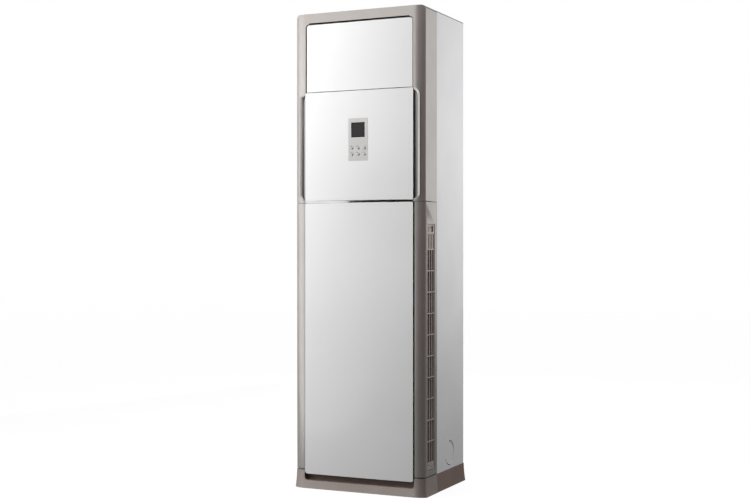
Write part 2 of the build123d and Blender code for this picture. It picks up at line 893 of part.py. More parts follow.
def door_rail(side):
    """Leaning channel for the guide shoes, with feet back to the outlet frame."""
    length = (rail_top - rail_bottom) / math.cos(lean)
    middle_z = (rail_top + rail_bottom) / 2
    reach = rack_inner + rack_width + shoe_reach + rail_gap
    width = reach - rail_inner
    offset = shoe_thickness / 2 + rail_gap + rail_wall / 2
    rail = on_track(side * (reach + rail_wall / 2), middle_z) * Box(rail_wall, 2 * offset + rail_wall, length)
    middle_x = side * (rail_inner + width / 2)
    for shift in (-offset, offset):
        rail += on_track(middle_x, middle_z, shift) * Box(width, rail_wall, length)
    inner = min(side * reach, side * (reach + rail_wall))
    half_foot = rail_foot / 2
    for height in (frame_bottom + rail_foot_lift, rail_top - rail_foot):
        y = front_y + shoe_line_setback + (guide_height - height) * math.tan(lean)
        rail += block(inner, inner + rail_wall, y, frame_front - seam, height - half_foot, height + half_foot)
    height = rail_bottom + rail_foot_lift
    y = front_y + shoe_line_setback + (guide_height - height) * math.tan(lean)
    return rail + block(inner, inner + rail_wall, front_y + recess_depth + shell + seam, y,
                        height - half_foot / 2, height + half_foot / 2)


def door_motor():
    """Small geared motor on the right end of the pinion shaft, with its ear behind the frame's flange."""
    y, z = pinion_centre()
    x0 = rack_inner + rack_width + trim + seam
    motor = rod_x(can_radius, x0, x0 + can_length, y, z)
    motor += block(x0, x0 + can_ear, frame_front + frame_flange + seam, y + lug_room, z, z + door_can_ear)
    return motor - rod_x(shaft_radius + running_gap, x0 - trim, x0 + shaft_end + trim, y, z)


# ---- air outlet ----


def louvre_height(number):
    """Height of a louvre's pivot."""
    middle = (outlet_bottom + outlet_top) / 2
    return middle + (number - (louvre_count - 1) / 2) * louvre_pitch


def vane_x(number):
    """Distance of a vane's pivot from the middle."""
    return (number - (vane_count - 1) / 2) * vane_pitch


def outlet_frame():
    """Duct and front flange of the air outlet, with pivot holes and bearings for the pinion shaft."""
    side = half_width - shell - seam
    frame = block(-side, side, frame_front, frame_front + frame_flange, frame_bottom, frame_top)
    outer = outlet_half + frame_wall
    frame += block(-outer, outer, frame_front, frame_back,
                   outlet_bottom - frame_wall, outlet_top + frame_wall)
    y, z = pinion_centre()
    for edge in (-1, 1):
        x = edge * (rack_inner - lug_inset)
        frame += block(x - lug_half, x + lug_half, frame_front, y + lug_room, z - lug_room,
                       outlet_bottom - frame_wall)
    frame -= block(-outlet_half, outlet_half, frame_front - trim, frame_back + trim,
                   outlet_bottom, outlet_top)
    frame -= rod_x(shaft_radius + running_gap, -half_width, half_width, y, z)
    for number in range(louvre_count):
        height = louvre_height(number)
        frame -= rod_x(louvre_pin + running_gap, -outer - trim, outer + trim, louvre_y, height)
    for number in range(vane_count):
        x = vane_x(number)
        frame -= rod_z(vane_pin + running_gap, outlet_bottom - frame_wall - trim,
                       outlet_top + frame_wall + trim, x, vane_y)
    return frame


def crank_point(number):
    """Y and Z of a louvre's crank pin, behind and below its pivot while the louvres are shut."""
    reach = crank_radius * math.sqrt(0.5)
    return louvre_y + reach, louvre_height(number) - reach


def link_right():
    """X of the louvre link's inner face, clear of the frame's left wall."""
    return link_thickness + louvre_end_room - outlet_half


def louvre(number):
    """Level louvre, shut upright: lens-shaped blade, end lobe with its crank pin, and two pivots."""
    z = louvre_height(number)
    half = louvre_chord / 2
    thick = louvre_thickness / 2
    left = link_right() + crank_sheet + pin_end_gap
    right = outlet_half - louvre_end_room
    front = ThreePointArc((louvre_y, z - half), (louvre_y - thick, z), (louvre_y, z + half))
    rear = ThreePointArc((louvre_y, z + half), (louvre_y + thick, z), (louvre_y, z - half))
    blade = extrude(Plane.YZ * make_face([front, rear]), right - left)
    blade = Pos(left, 0, 0) * blade
    y, pin_z = crank_point(number)
    lobe = SlotCenterToCenter(crank_radius, crank_lobe)
    middle = ((louvre_y + y) / 2, (z + pin_z) / 2)
    lobe = Plane.YZ * Pos(*middle) * Rot(0, 0, -45) * lobe
    blade += Pos(left - crank_sheet + pin_end_gap, 0, 0) * extrude(lobe, crank_sheet)
    blade += rod_x(crank_pin, link_right() - link_thickness - pin_end_gap, left, y, pin_z)
    blade += rod_x(louvre_pin, pin_end_gap - outlet_half - frame_wall, left, louvre_y, z)
    end = outlet_half + frame_wall - pin_end_gap
    if number == louvre_count // 2:
        end = outlet_half + frame_wall + drive_pin
    blade += rod_x(louvre_pin, right, end, louvre_y, z)
    return blade


def louvre_link():
    """Upright bar that joins the louvres' crank pins."""
    y, low = crank_point(0)
    high = crank_point(louvre_count - 1)[1]
    right = link_right()
    x0 = right - link_thickness
    bar = block(x0, right, y - link_width / 2, y + link_width / 2, low - link_end, high + link_end)
    bar = fillet(bar.edges().filter_by(Axis.X), link_corner)
    for number in range(louvre_count):
        bar -= rod_x(crank_pin + running_gap, x0 - trim, right + trim, y, crank_point(number)[1])
    return bar


def vane(number):
    """Upright vane: thin lens blade, pivots into the frame above and below, crank pin at the rear."""
    x = vane_x(number)
    front = vane_y - 0.47 * vane_chord
    back = vane_y + 0.53 * vane_chord
    thick = vane_thickness / 2
    z0 = outlet_bottom + link_thickness + 2 * trim
    z1 = outlet_top - louvre_end_room
    right = ThreePointArc((x, front), (x + thick, vane_y), (x, back))
    left = ThreePointArc((x, back), (x - thick, vane_y), (x, front))
    blade = Pos(0, 0, z0) * extrude(make_face([right, left]), z1 - z0)
    blade += rod_z(vane_pin, outlet_bottom - frame_wall + pin_end_gap, z0 + link_end, x, vane_y)
    top = outlet_top + frame_wall - pin_end_gap
    if number == vane_count // 2:
        top = outlet_top + frame_wall + drive_pin
    blade += rod_z(vane_pin, z1 - link_end, top, x, vane_y)
    blade += rod_z(crank_pin, outlet_bottom + trim, z0 + link_end, x, vane_y + vane_crank)
    return blade


def vane_link():
    """Level bar under the vanes that joins their crank pins."""
    y = vane_y + vane_crank
    z0 = outlet_bottom + trim
    half = (vane_count - 1) / 2 * vane_pitch + link_end
    bar = block(-half, half, y - link_width / 2, y + link_width / 2, z0, z0 + link_thickness)
    bar = fillet(bar.edges().filter_by(Axis.Z), link_corner)
    for number in range(vane_count):
        bar -= rod_z(crank_pin + running_gap, z0 - trim, z0 + link_thickness + trim, vane_x(number), y)
    return bar


def louvre_motor():
    """Stepper motor outside the frame's right wall, on the middle louvre's pivot."""
    x0 = outlet_half + frame_wall + seam
    z = louvre_height(louvre_count // 2)
    motor = rod_x(can_radius, x0, x0 + can_length, louvre_y, z)
    motor += block(x0, x0 + can_ear, louvre_y - can_radius / 2, louvre_y + can_radius / 2,
                   z - 1.5 * can_radius, z + 1.5 * can_radius)
    return motor - rod_x(louvre_pin + running_gap, x0 - trim, x0 + drive_pin + trim, louvre_y, z)


def vane_motor():
    """Stepper motor on top of the frame, on the middle vane's pivot."""
    z0 = outlet_top + frame_wall + seam
    x = vane_x(vane_count // 2)
    motor = rod_z(can_radius, z0, z0 + can_length, x, vane_y)
    motor += block(x - 1.5 * can_radius, x + 1.5 * can_radius, vane_y - can_radius / 2,
                   vane_y + can_radius / 2, z0, z0 + can_ear)
    return motor - rod_z(vane_pin + running_gap, z0 - trim, z0 + drive_pin + trim, x, vane_y)


# ---- control bezel ----


def button_places():
    """X and Z of the six button centres."""
    return [(x, z) for z in button_rows for x in button_columns]


def display_bezel():
    """Moulded bezel through the display panel, with a flange behind it and posts for the board."""
    corner = panel_corner
    plate = upright_slab(bezel_half, bezel_bottom, bezel_top, bezel_front, bezel_back, corner, corner)
    back = panel_front + panel_skin + seam
    plate += upright_slab(bezel_half + bezel_flange, bezel_bottom - bezel_flange, bezel_top + bezel_flange,
                          back, bezel_back, corner, corner)
    edge = window_half + bezel_gap
    plate -= block(-edge, edge, bezel_front - trim, bezel_front + window_glass + seam,
                   window_bottom - bezel_gap, window_top + bezel_gap)
    edge = window_half - bezel_flange
    plate -= block(-edge, edge, bezel_front - trim, bezel_back + trim, window_bottom + bezel_flange,
                   window_top - bezel_flange)
    for x, z in button_places():
        plate -= rod_y(button_radius + button_gap, bezel_front - trim, bezel_back + trim, x, z)
    inset = 2 * bezel_flange
    for x in (-bezel_half + inset, bezel_half - inset):
        for z in (bezel_bottom + inset + bezel_flange, bezel_top - inset - bezel_flange):
            plate += rod_y(board_post, bezel_back - trim, board_face - bezel_gap, x, z)
    return plate


def display_window():
    """Dark glass over the display, seated in the bezel's rebate."""
    front = bezel_front + bezel_gap / 2
    return upright_slab(window_half, window_bottom, window_top, front, front + window_glass,
                        panel_corner / 2, panel_corner / 2)


def button(number):
    """Round button with a domed face and a retaining collar behind the bezel."""
    x, z = button_places()[number]
    shoulder = bezel_front - bezel_gap / 2
    crown = shoulder - button_dome
    collar = bezel_back + bezel_gap
    end = collar + button_travel - bezel_gap / 2
    sphere = (button_radius**2 + button_dome**2) / (2 * button_dome)
    middle = crown + sphere - math.sqrt(sphere**2 - (button_radius / 2) ** 2)
    dome = ThreePointArc((0, crown), (button_radius / 2, middle), (button_radius, shoulder))
    wide = button_radius + button_collar
    body = Polyline(
        (button_radius, shoulder), (button_radius, collar), (wide, collar), (wide, end), (0, end), (0, crown),
    )
    return Pos(x, 0, z) * revolve(make_face([dome, body]), Axis.Y, 360)


def display_board():
    """Circuit board behind the bezel, with the display block and six press switches."""
    inset = bezel_flange
    board = block(-bezel_half + inset, bezel_half - inset, board_face, board_face + board_sheet,
                  bezel_bottom + inset, bezel_top - inset)
    for x, z in button_places():
        board += rod_y(button_radius / 2, board_face - trim, board_face + seam, x, z)
    edge = window_half - bezel_flange - trim
    front = bezel_front + window_glass + 2 * seam
    return board + block(-edge, edge, front, board_face + seam, window_top - window_half - edge,
                         window_top - window_half + edge)


# ---- side intakes ----


def latch_tongue(side, front, z0, z1):
    """Latch tongue in the grille's handle, with a finger hole through it."""
    lo = min(side * grille_inner, side * (grille_outer - trim))
    hi = max(side * grille_inner, side * (grille_outer - trim))
    tongue = block(lo, hi, front, front + latch_width, z0, z1)
    tongue -= rod_x(latch_hole, lo - trim, hi + trim, front + latch_width / 2, z1 - 2 * latch_hole)
    return tongue


def foot_brace(side, front, back, z0, z1):
    """Room cut into the grille's foot for its shallow pocket, less the two ribs that cross it."""
    lo = min(side * (grille_outer - brace_depth), side * (grille_outer + trim))
    hi = max(side * (grille_outer - brace_depth), side * (grille_outer + trim))
    pocket = block(lo, hi, front, back, z0, z1)
    slope = math.degrees(math.atan2(z1 - z0, back - front))
    for turn in (-slope, slope):
        middle = Plane.YZ.offset(lo) * Pos((front + back) / 2, (z0 + z1) / 2) * Rot(0, 0, turn)
        pocket -= extrude(middle * Rectangle(2 * (back - front), brace_rib), hi - lo)
    return pocket


def intake_grille(side):
    """Side intake grille: a frame with long ribs, cross bars at an even pitch, and a handle on top."""
    front = intake_front + intake_gap
    back = intake_back - intake_gap
    z0 = intake_bottom + intake_gap
    z1 = intake_top - intake_gap
    lo = min(side * grille_inner, side * grille_outer)
    hi = max(side * grille_inner, side * grille_outer)
    body = block(lo, hi, front, back, z0, z1)
    inside = back - front - 2 * grille_edge
    slot = (inside - (grille_columns - 1) * grille_rib) / grille_columns
    bays_top = z1 - handle_height - closed_bay
    bay_pitch = (bays_top - z0 - grille_foot) / grille_bays
    past = side * (grille_outer + trim)
    lip = side * (grille_outer - closed_depth)
    for column in range(grille_columns):
        y = front + grille_edge + column * (slot + grille_rib)
        for bay in range(grille_bays):
            top = bays_top - bay * bay_pitch - grille_bar / 2
            body -= block(lo - trim, hi + trim, y, y + slot, top - bay_pitch + grille_bar, top)
        body -= block(min(lip, past), max(lip, past), y, y + slot, bays_top + closed_depth,
                      z1 - handle_height - closed_depth)
    pull = side * (grille_outer - handle_depth)
    pull_foot = z1 - handle_height + handle_depth
    body -= block(min(pull, past), max(pull, past), front + 2 * grille_edge, back - 2 * grille_edge,
                  pull_foot, z1 - grille_edge)
    body += latch_tongue(side, front + 2 * grille_edge + latch_side_room, pull_foot - trim, z1 - handle_depth)
    body -= foot_brace(side, front + grille_edge, back - grille_edge, z0 + grille_edge,
                       z0 + grille_foot - brace_rib)
    body += rod_y(hinge_pin, intake_front - shell + running_gap, intake_back + shell - running_gap,
                  side * hinge_x, hinge_z)
    return body


def intake_filter(side):
    """Washable filter behind the grille: a frame with ribs round a thin mesh."""
    outer = side * (grille_inner - seam)
    inner = side * (grille_inner - seam - filter_thickness)
    front = intake_front + intake_gap + filter_thickness
    back = intake_back - intake_gap - filter_thickness
    z0 = hinge_z + grille_foot
    z1 = intake_top - intake_gap - handle_height
    body = block(min(outer, inner), max(outer, inner), front, back, z0, z1)
    height = (z1 - z0 - filter_rib) / filter_bays
    depth = (filter_thickness - filter_mesh) / 2
    for bay in range(filter_bays):
        bottom = z0 + filter_rib + bay * height
        for face in (outer, inner):
            body -= block(face - depth, face + depth, front + filter_rib, back - filter_rib, bottom,
                          bottom + height - filter_rib)
    return body


# ---- fan ----


def scroll_outline(grow):
    """Front view of the fan housing: a widening scroll that runs into the upright neck."""
    start = math.asin(grow / (scroll_start + grow)) if grow else 0.0
    points = []
    count = 12
    for step in range(count + 1):
        turn = start + (1.5 * math.pi - start) * step / count
        radius = scroll_start + grow + scroll_growth * turn / (1.5 * math.pi)
        angle = math.pi / 2 + turn
        points.append((radius * math.cos(angle), fan_height + radius * math.sin(angle)))
    left = points[0]
    right = points[-1]
    top = neck_top if grow else neck_top + trim
    edges = [
        Spline(*points),
        Line(right, (right[0], top)),
        Line((right[0], top), (left[0], top)),
        Line((left[0], top), left),
    ]
    return make_face(edges)


def scroll_prism(grow, y0, y1):
    """The scroll's outline, drawn through between two depths."""
    face = Plane.XZ.offset(-y1) * scroll_outline(grow)
    return extrude(face, y1 - y0)


def fan_volute():
    """Fan housing: scroll wall, rear wall with the motor opening, and the neck's top flange."""
    body = scroll_prism(scroll_wall, scroll_front, scroll_back)
    body -= scroll_prism(0, scroll_front - trim, scroll_back - scroll_wall)
    body -= rod_y(motor_radius + motor_gap, scroll_back - 2 * scroll_wall, scroll_back + trim, 0, fan_height)
    rim = block(-neck_rim, scroll_right + neck_rim, scroll_front, scroll_back + neck_rim,
                neck_top - scroll_wall, neck_top)
    rim -= block(-trim, scroll_right + trim, scroll_front - trim, scroll_back - scroll_wall,
                 neck_top - 2 * scroll_wall, neck_top + trim)
    return body + rim


def volute_front():
    """Front wall of the fan housing, with the rolled inlet bellmouth."""
    y = scroll_front - seam
    wall = scroll_wall
    plate = scroll_prism(wall, y - wall, y)
    plate -= rod_y(inlet_radius + wall, y - wall - trim, y + trim, 0, fan_height)
    outer = inlet_radius + bell_flare
    share = math.sqrt(0.5)
    inside = (outer - bell_flare * share, y - bell_flare * share)
    outside = (outer - (bell_flare - wall) * share, y - (bell_flare - wall) * share)
    profile = make_face([
        Line((inlet_radius + wall, y), (inlet_radius, y)),
        ThreePointArc((inlet_radius, y), inside, (outer, y - bell_flare)),
        Line((outer, y - bell_flare), (outer, y - bell_flare + wall)),
        ThreePointArc((outer, y - bell_flare + wall), outside, (inlet_radius + wall, y)),
    ])
    return plate + Pos(0, 0, fan_height) * revolve(profile, Axis.Y, 360)


def fan_blade():
    """One forward-curved blade of the impeller, drawn along the fan's axis."""
    half = blade_sheet / 2
    middle = impeller_radius - blade_depth / 2
    tip = impeller_radius - trim
    face = make_face([
        ThreePointArc((blade_inner, -half), (middle, blade_bulge - half), (tip, blade_skew)),
        Line((tip, blade_skew), (tip - trim, blade_skew + half)),
        ThreePointArc((tip - trim, blade_skew + half), (middle, blade_bulge + half), (blade_inner, half)),
        Line((blade_inner, half), (blade_inner, -half)),
    ])
    length = impeller_back - impeller_front - disc_sheet - trim
    return extrude(Plane.XZ.offset(disc_sheet / 2 - impeller_back) * face, length)


def fan_impeller():
    """Sirocco impeller: hub and back disc, forward-curved blades, and the ring at the inlet side."""
    disc = rod_y(impeller_radius, impeller_back - disc_sheet, impeller_back, 0, 0)
    hub = rod_y(hub_radius, impeller_front + hub_recess, impeller_back, 0, 0)
    ring = rod_y(impeller_radius, impeller_front, impeller_front + ring_width, 0, 0)
    ring -= rod_y(impeller_radius - blade_depth / 2 - ring_width / 2, impeller_front - trim,
                  impeller_front + ring_width + trim, 0, 0)
    blade = fan_blade()
    blades = [Rot(0, 360 / blade_count * number, 0) * blade for number in range(blade_count)]
    wheel = disc + hub + ring + blades
    wheel -= rod_y(fan_shaft_radius, impeller_front, impeller_back + trim, 0, 0)
    return Pos(0, 0, fan_height) * wheel


def fan_shaft():
    """Motor shaft that carries the impeller, with a washer and a nut at its threaded end."""
    front = impeller_front + hub_recess
    shaft = rod_y(fan_shaft_radius, front - 1.5 * nut_radius, motor_front + motor_bore, 0, fan_height)
    shaft += rod_y(washer_radius, front - washer_sheet, front, 0, fan_height)
    hexagon = extrude(Plane.XZ.offset(washer_sheet - front) * RegularPolygon(nut_radius, 6), nut_radius)
    return shaft + Pos(0, 0, fan_height) * hexagon


def fan_motor():
    """Fan motor with its mounting flange, rear bearing boss and a bore for the shaft."""
    rear = motor_front + motor_length
    body = rod_y(motor_radius, motor_front, rear, 0, fan_height)
    body = fillet(body.edges().filter_by(GeomType.CIRCLE).group_by(Axis.Y)[-1], motor_bend)
    flange_y = scroll_back + seam + bracket_sheet + seam
    body += rod_y(motor_radius + motor_flange, flange_y, flange_y + bracket_sheet, 0, fan_height)
    body += rod_y(bearing_radius, rear - trim, rear + bearing_length, 0, fan_height)
    return body - rod_y(fan_shaft_radius + running_gap, motor_front - trim, motor_front + motor_bore + trim,
                        0, fan_height)


def motor_bracket():
    """Pressed steel plate that holds the motor on the rear wall of the fan housing."""
    half = motor_radius + bracket_reach
    front = scroll_back + seam
    plate = block(-half, half, front, front + bracket_sheet, fan_height - half, fan_height + half)
    plate = fillet(plate.edges().filter_by(Axis.Y), bracket_corner)
    side = half - bracket_corner - bracket_sheet
    for edge in (-1, 1):
        rib = block(-side, side, front, front + motor_flange, 0, bracket_sheet)
        plate += Pos(0, 0, fan_height + edge * (half - bracket_sheet)) * rib
    return plate - rod_y(motor_radius + trim, front - trim, front + bracket_sheet + trim, 0, fan_height)


# ---- heat exchanger ----


def in_coil(shape):
    """Turn a shape from the coil's own frame into its leaning place."""
    return Pos(0, coil_foot_y, coil_foot_z) * Rot(-coil_lean, 0, 0) * shape


def coil_point(along):
    """Y and Z of a point on the coil's middle plane."""
    angle = math.radians(coil_lean)
    return coil_foot_y + along * math.sin(angle), coil_foot_z + along * math.cos(angle)


def evaporator_fins():
    """Fin pack of the leaning coil, grooved on both faces at the fin pitch."""
    half = coil_thickness / 2
    pack = block(-coil_half, coil_half, -half, half, 0, coil_length)
    count = int(2 * coil_half / fin_pitch)
    grooves = []
    for number in range(count):
        x = (number - (count - 1) / 2) * fin_pitch
        for face in (-half, half):
            grooves.append(block(x - fin_pitch / 4, x + fin_pitch / 4, face - fin_groove, face + fin_groove,
                                 -trim, coil_length + trim))
    return in_coil(pack - grooves)


def end_face():
    """Distance of the end plates' outer faces from the middle."""
    return coil_half + seam + partition_sheet


def evaporator_end(side):
    """End plate of the coil, with a foot in the drain pan and a tab to the rear board."""
    lo = min(side * (coil_half + seam), side * end_face())
    hi = max(side * (coil_half + seam), side * end_face())
    half = coil_thickness / 2 + 2 * shell
    plate = in_coil(block(lo, hi, -half, half, -fin_groove, coil_length + fin_groove))
    plate += block(lo, hi, coil_foot_y - spout_radius, coil_foot_y + spout_radius,
                   pan_floor + drain_wall + seam, coil_foot_z)
    y, z = coil_point(coil_length)
    return plate + block(lo, hi, y, rear_y - 2 * sheet - 2 * seam, z - flange, z)


def return_bends():
    """Copper return bends that join the coil's tubes outside the left end plate."""
    face = -end_face() - seam
    lean_angle = math.radians(coil_lean)
    half_ring = revolve(Plane.XZ * Pos(bend_pitch / 4, 0) * Circle(tube_radius), Axis.Z, 180)
    count = int((coil_length - bend_pitch) / bend_pitch) + 1
    start = (coil_length - (count - 1) * bend_pitch) / 2
    bends = []
    for number in range(count):
        y, z = coil_point(start + number * bend_pitch)
        place = Plane(origin=(face, y, z), x_dir=(0, math.sin(lean_angle), math.cos(lean_angle)),
                      z_dir=(0, -math.cos(lean_angle), math.sin(lean_angle)))
        bends.append(place * half_ring)
    return bends


def refrigerant_pipe(radius, along, drop_y):
    """Copper pipe from the coil's right end, back and then down to its flare nut near the knock-out."""
    y, z = coil_point(along)
    start = (end_face() + seam, y, z)
    bottom = knockout_z + nut_height
    points = [start, (pipe_x, y, z), (pipe_x, drop_y, z), (pipe_x, drop_y, bottom)]
    path = FilletPolyline(*points, radius=pipe_bend)
    section = Plane(origin=start, z_dir=(1, 0, 0)) * Circle(radius)
    pipe = sweep(section, path=path)
    hexagon = RegularPolygon(radius + 2 * shell, 6)
    return pipe + Pos(pipe_x, drop_y, bottom - fin_groove) * extrude(hexagon, nut_height)


def copper_circuit():
    """Return bends with the suction pipe and the liquid pipe."""
    suction = refrigerant_pipe(suction_radius, bend_pitch, suction_y)
    liquid = refrigerant_pipe(liquid_radius, 2.5 * bend_pitch, liquid_y)
    return Compound(return_bends() + [suction, liquid])


def partition_plate():
    """Steel shelf above the fan, with the neck's opening, the drain hole and holes for the pipes."""
    rear = rear_y - 2 * sheet - 2 * seam
    z1 = partition_z + partition_sheet
    narrow = intake_frame_x() - seam
    plate = block(-narrow, narrow, front_y + flange, board_front - trim, partition_z, z1)
    wide = half_width - sheet - seam
    plate += block(-wide, wide, board_front + 2 * sheet + seam, rear - rear_bend, partition_z, z1)
    mid = half_width - flange - 2 * trim
    plate += block(-mid, mid, board_front - 2 * trim, rear, partition_z, z1)
    low = partition_z - trim
    high = z1 + trim
    plate -= block(trim, scroll_right - trim, scroll_front + trim, scroll_back - scroll_wall - trim,
                   low, high)
    plate -= rod_z(spout_radius + 2 * trim, low, high, drain_x, drain_y)
    plate -= rod_z(suction_radius + pipe_room, low, high, pipe_x, suction_y)
    return plate - rod_z(liquid_radius + pipe_room, low, high, pipe_x, liquid_y)


def drain_pan():
    """Moulded pan under the coil's foot, with its spout down through the shelf."""
    half = coil_half + drain_side_room
    top = pan_floor + drain_height
    floor = pan_floor + drain_wall
    pan = block(-half, half, pan_front, pan_back, pan_floor, top)
    pan -= block(-half + drain_wall, half - drain_wall, pan_front + drain_wall, pan_back - drain_wall,
                 floor, top + trim)
    pan += rod_z(spout_radius, pan_floor - spout_length, pan_floor + trim, drain_x, drain_y)
    return pan - rod_z(spout_radius - drain_wall + 0.5 * trim, pan_floor - spout_length - trim, floor + trim,
                       drain_x, drain_y)


# ---- controls ----


def control_stand():
    """Steel upright with a folded foot on the base pan, welded to the back of the control box."""
    back = box_back + stand_sheet
    z0 = pan_height + seam
    left = box_left + stand_inset
    right = box_right - stand_inset
    stand = block(left, right, box_back, back, z0, box_top - stand_inset)
    stand += block(left, right, box_back, back + stand_foot, z0, z0 + stand_sheet)
    window = block(left + stand_inset, right - stand_inset, box_back - trim, back + trim,
                   z0 + 2 * stand_inset, box_bottom - stand_inset)
    return stand - fillet(window.edges().filter_by(Axis.Y), stand_inset / 2)


def control_box():
    """Sheet steel box on its stand, open towards the front, with a cable notch in its floor."""
    front = box_back - box_depth
    box = block(box_left, box_right, front, box_back, box_bottom, box_top)
    box -= block(box_left + box_sheet, box_right - box_sheet, front - trim, box_back - box_sheet,
                 box_bottom + box_sheet, box_top - box_sheet)
    right = box_right - notch_inset
    box -= block(right - notch_width, right, front - trim, front + notch_inset, box_bottom - trim,
                 box_bottom + box_sheet + trim)
    return box + control_stand()


def control_lid():
    """Lid over the front of the control box, with a turned edge round the box."""
    front = box_back - box_depth - seam - box_sheet
    out = seam + box_sheet
    lid = block(box_left - out, box_right + out, front, front + lid_turn, box_bottom - out, box_top + out)
    return lid - block(box_left - seam, box_right + seam, front + box_sheet, front + lid_turn + trim,
                       box_bottom - seam, box_top + seam)


def box_wall():
    """Y of the parts' backs, just off the rear wall of the control box."""
    return box_back - box_sheet - seam


def control_board():
    """Main circuit board on four posts, with relays and a transformer."""
    wall = box_wall()
    left = box_left + board_inset
    right = left + board_length
    bottom = box_bottom + board_inset
    top = box_top - board_inset
    face = wall - 2 * relay_height / 5 - board_sheet
    board = block(left, right, face, face + board_sheet, bottom, top)
    post = 2 * board_post
    for x in (left + post, right - post):
        for z in (bottom + post, top - post):
            board += rod_y(board_post, face + board_sheet / 2, wall, x, z)
    for number in range(4):
        x = left + board_inset + number * relay_pitch
        board += block(x, x + relay_width, face - relay_height, face + trim, bottom + post,
                       bottom + post + relay_height)
    x = left + board_inset
    z = top - board_inset
    return board + block(x, x + transformer_length, face - 2 * relay_height, face + trim,
                         z - transformer_height, z)


def run_capacitor():
    """Round run capacitor of the fan motor, clamped upright to the box's back."""
    wall = box_wall()
    x = box_left + board_inset + board_length + 1.75 * capacitor_radius
    y = wall - capacitor_radius - 2 * trim
    top = box_top - board_inset
    can = rod_z(capacitor_radius, top - 5 * capacitor_radius, top, x, y)
    reach = capacitor_radius + 2 * board_post
    clamp = top - 4 * capacitor_radius
    return can + block(x - reach, x + reach, wall - 4 * trim, wall, clamp, clamp + capacitor_radius)


def terminal_block():
    """Terminal block with its row of screw wells and dividing walls."""
    wall = box_wall()
    x0 = box_right - board_inset - terminal_length
    z0 = box_bottom + board_inset
    body = block(x0, x0 + terminal_length, wall - terminal_depth, wall, z0, z0 + terminal_height)
    well = wall - terminal_depth / 3 - 2 * well_wall
    for number in range(well_count):
        x = x0 + well_wall + number * (well_width + well_wall)
        body -= block(x, x + well_width, wall - terminal_depth - trim, well, z0 + well_wall,
                      z0 + terminal_height - well_wall)
        body -= rod_y(well_wall + seam, well - trim, wall - terminal_depth / 3, x + well_width / 2,
                      z0 + terminal_height / 2)
    return body


# ---- every piece, by the name of its file ----


def all_pieces():
    """Name and solid of each piece."""
    pieces = {
        "base_skirt": base_skirt(),
        "base_pan": base_pan(),
        "side_board_left": side_board(-1),
        "side_board_right": side_board(1),
        "rear_panel": rear_panel(),
        "top_cover": top_cover(),
        "top_cap": top_cap(),
        "upper_fascia": upper_fascia(),
        "lower_fascia": lower_fascia(),
        "service_panel": service_panel(),
        "display_panel": display_panel(),
        "outlet_door": outlet_door(),
        "door_rack_left": door_rack(-1),
        "door_rack_right": door_rack(1),
        "pinion_shaft": pinion_shaft(),
        "door_rail_left": door_rail(-1),
        "door_rail_right": door_rail(1),
        "door_motor": door_motor(),
        "outlet_frame": outlet_frame(),
        "louvre_link": louvre_link(),
        "louvre_motor": louvre_motor(),
        "vane_link": vane_link(),
        "vane_motor": vane_motor(),
        "display_bezel": display_bezel(),
        "display_window": display_window(),
        "display_board": display_board(),
        "intake_grille_left": intake_grille(-1),
        "intake_grille_right": intake_grille(1),
        "intake_filter_left": intake_filter(-1),
        "intake_filter_right": intake_filter(1),
        "fan_volute": fan_volute(),
        "volute_front": volute_front(),
        "fan_impeller": fan_impeller(),
        "fan_shaft": fan_shaft(),
        "fan_motor": fan_motor(),
        "motor_bracket": motor_bracket(),
        "evaporator_fins": evaporator_fins(),
        "evaporator_ends": Compound([evaporator_end(-1), evaporator_end(1)]),
        "copper_circuit": copper_circuit(),
        "partition_plate": partition_plate(),
        "drain_pan": drain_pan(),
        "control_box": control_box(),
        "control_lid": control_lid(),
        "control_parts": Compound([control_board(), run_capacitor(), terminal_block()]),
    }
    for number in range(louvre_count):
        pieces[f"louvre_{number + 1}"] = louvre(number)
    for number in range(vane_count):
        pieces[f"vane_{number + 1}"] = vane(number)
    for number in range(len(button_places())):
        pieces[f"button_{number + 1}"] = button(number)
    return pieces


os.makedirs("parts", exist_ok=True)
for name, piece in all_pieces().items():
    export_step(piece, f"parts/{name}.step")
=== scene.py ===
import json
import math

import bmesh
import bpy
from mathutils import Matrix, Vector

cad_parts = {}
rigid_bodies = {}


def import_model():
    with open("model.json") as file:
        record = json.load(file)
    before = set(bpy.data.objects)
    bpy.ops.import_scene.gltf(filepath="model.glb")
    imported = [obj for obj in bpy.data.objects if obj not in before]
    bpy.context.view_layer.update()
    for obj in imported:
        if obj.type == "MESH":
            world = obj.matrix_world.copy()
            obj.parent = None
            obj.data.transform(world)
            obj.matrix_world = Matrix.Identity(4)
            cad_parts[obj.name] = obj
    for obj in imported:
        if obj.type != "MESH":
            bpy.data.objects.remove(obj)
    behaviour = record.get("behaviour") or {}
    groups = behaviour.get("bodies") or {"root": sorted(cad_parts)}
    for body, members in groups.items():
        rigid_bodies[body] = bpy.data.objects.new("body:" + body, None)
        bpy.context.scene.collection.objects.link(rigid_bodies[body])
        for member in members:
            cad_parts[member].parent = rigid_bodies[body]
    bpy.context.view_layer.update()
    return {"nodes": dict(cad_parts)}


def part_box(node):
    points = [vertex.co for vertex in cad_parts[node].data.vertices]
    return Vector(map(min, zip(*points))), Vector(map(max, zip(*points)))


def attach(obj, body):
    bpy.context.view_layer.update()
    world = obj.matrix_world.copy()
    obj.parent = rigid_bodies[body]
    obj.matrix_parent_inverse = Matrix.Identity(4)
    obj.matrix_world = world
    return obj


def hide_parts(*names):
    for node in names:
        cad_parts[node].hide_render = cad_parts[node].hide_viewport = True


# Floor standing air conditioner: a tall cabinet of steel boards and taupe mouldings on a deep base,
# with three white bowed panels in front. The pieces come in the order in which it is put together.

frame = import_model()
nodes = frame["nodes"]

for stray in [o for o in bpy.data.objects if o.name in ("Cube", "Camera", "Light")]:
    bpy.data.objects.remove(stray)

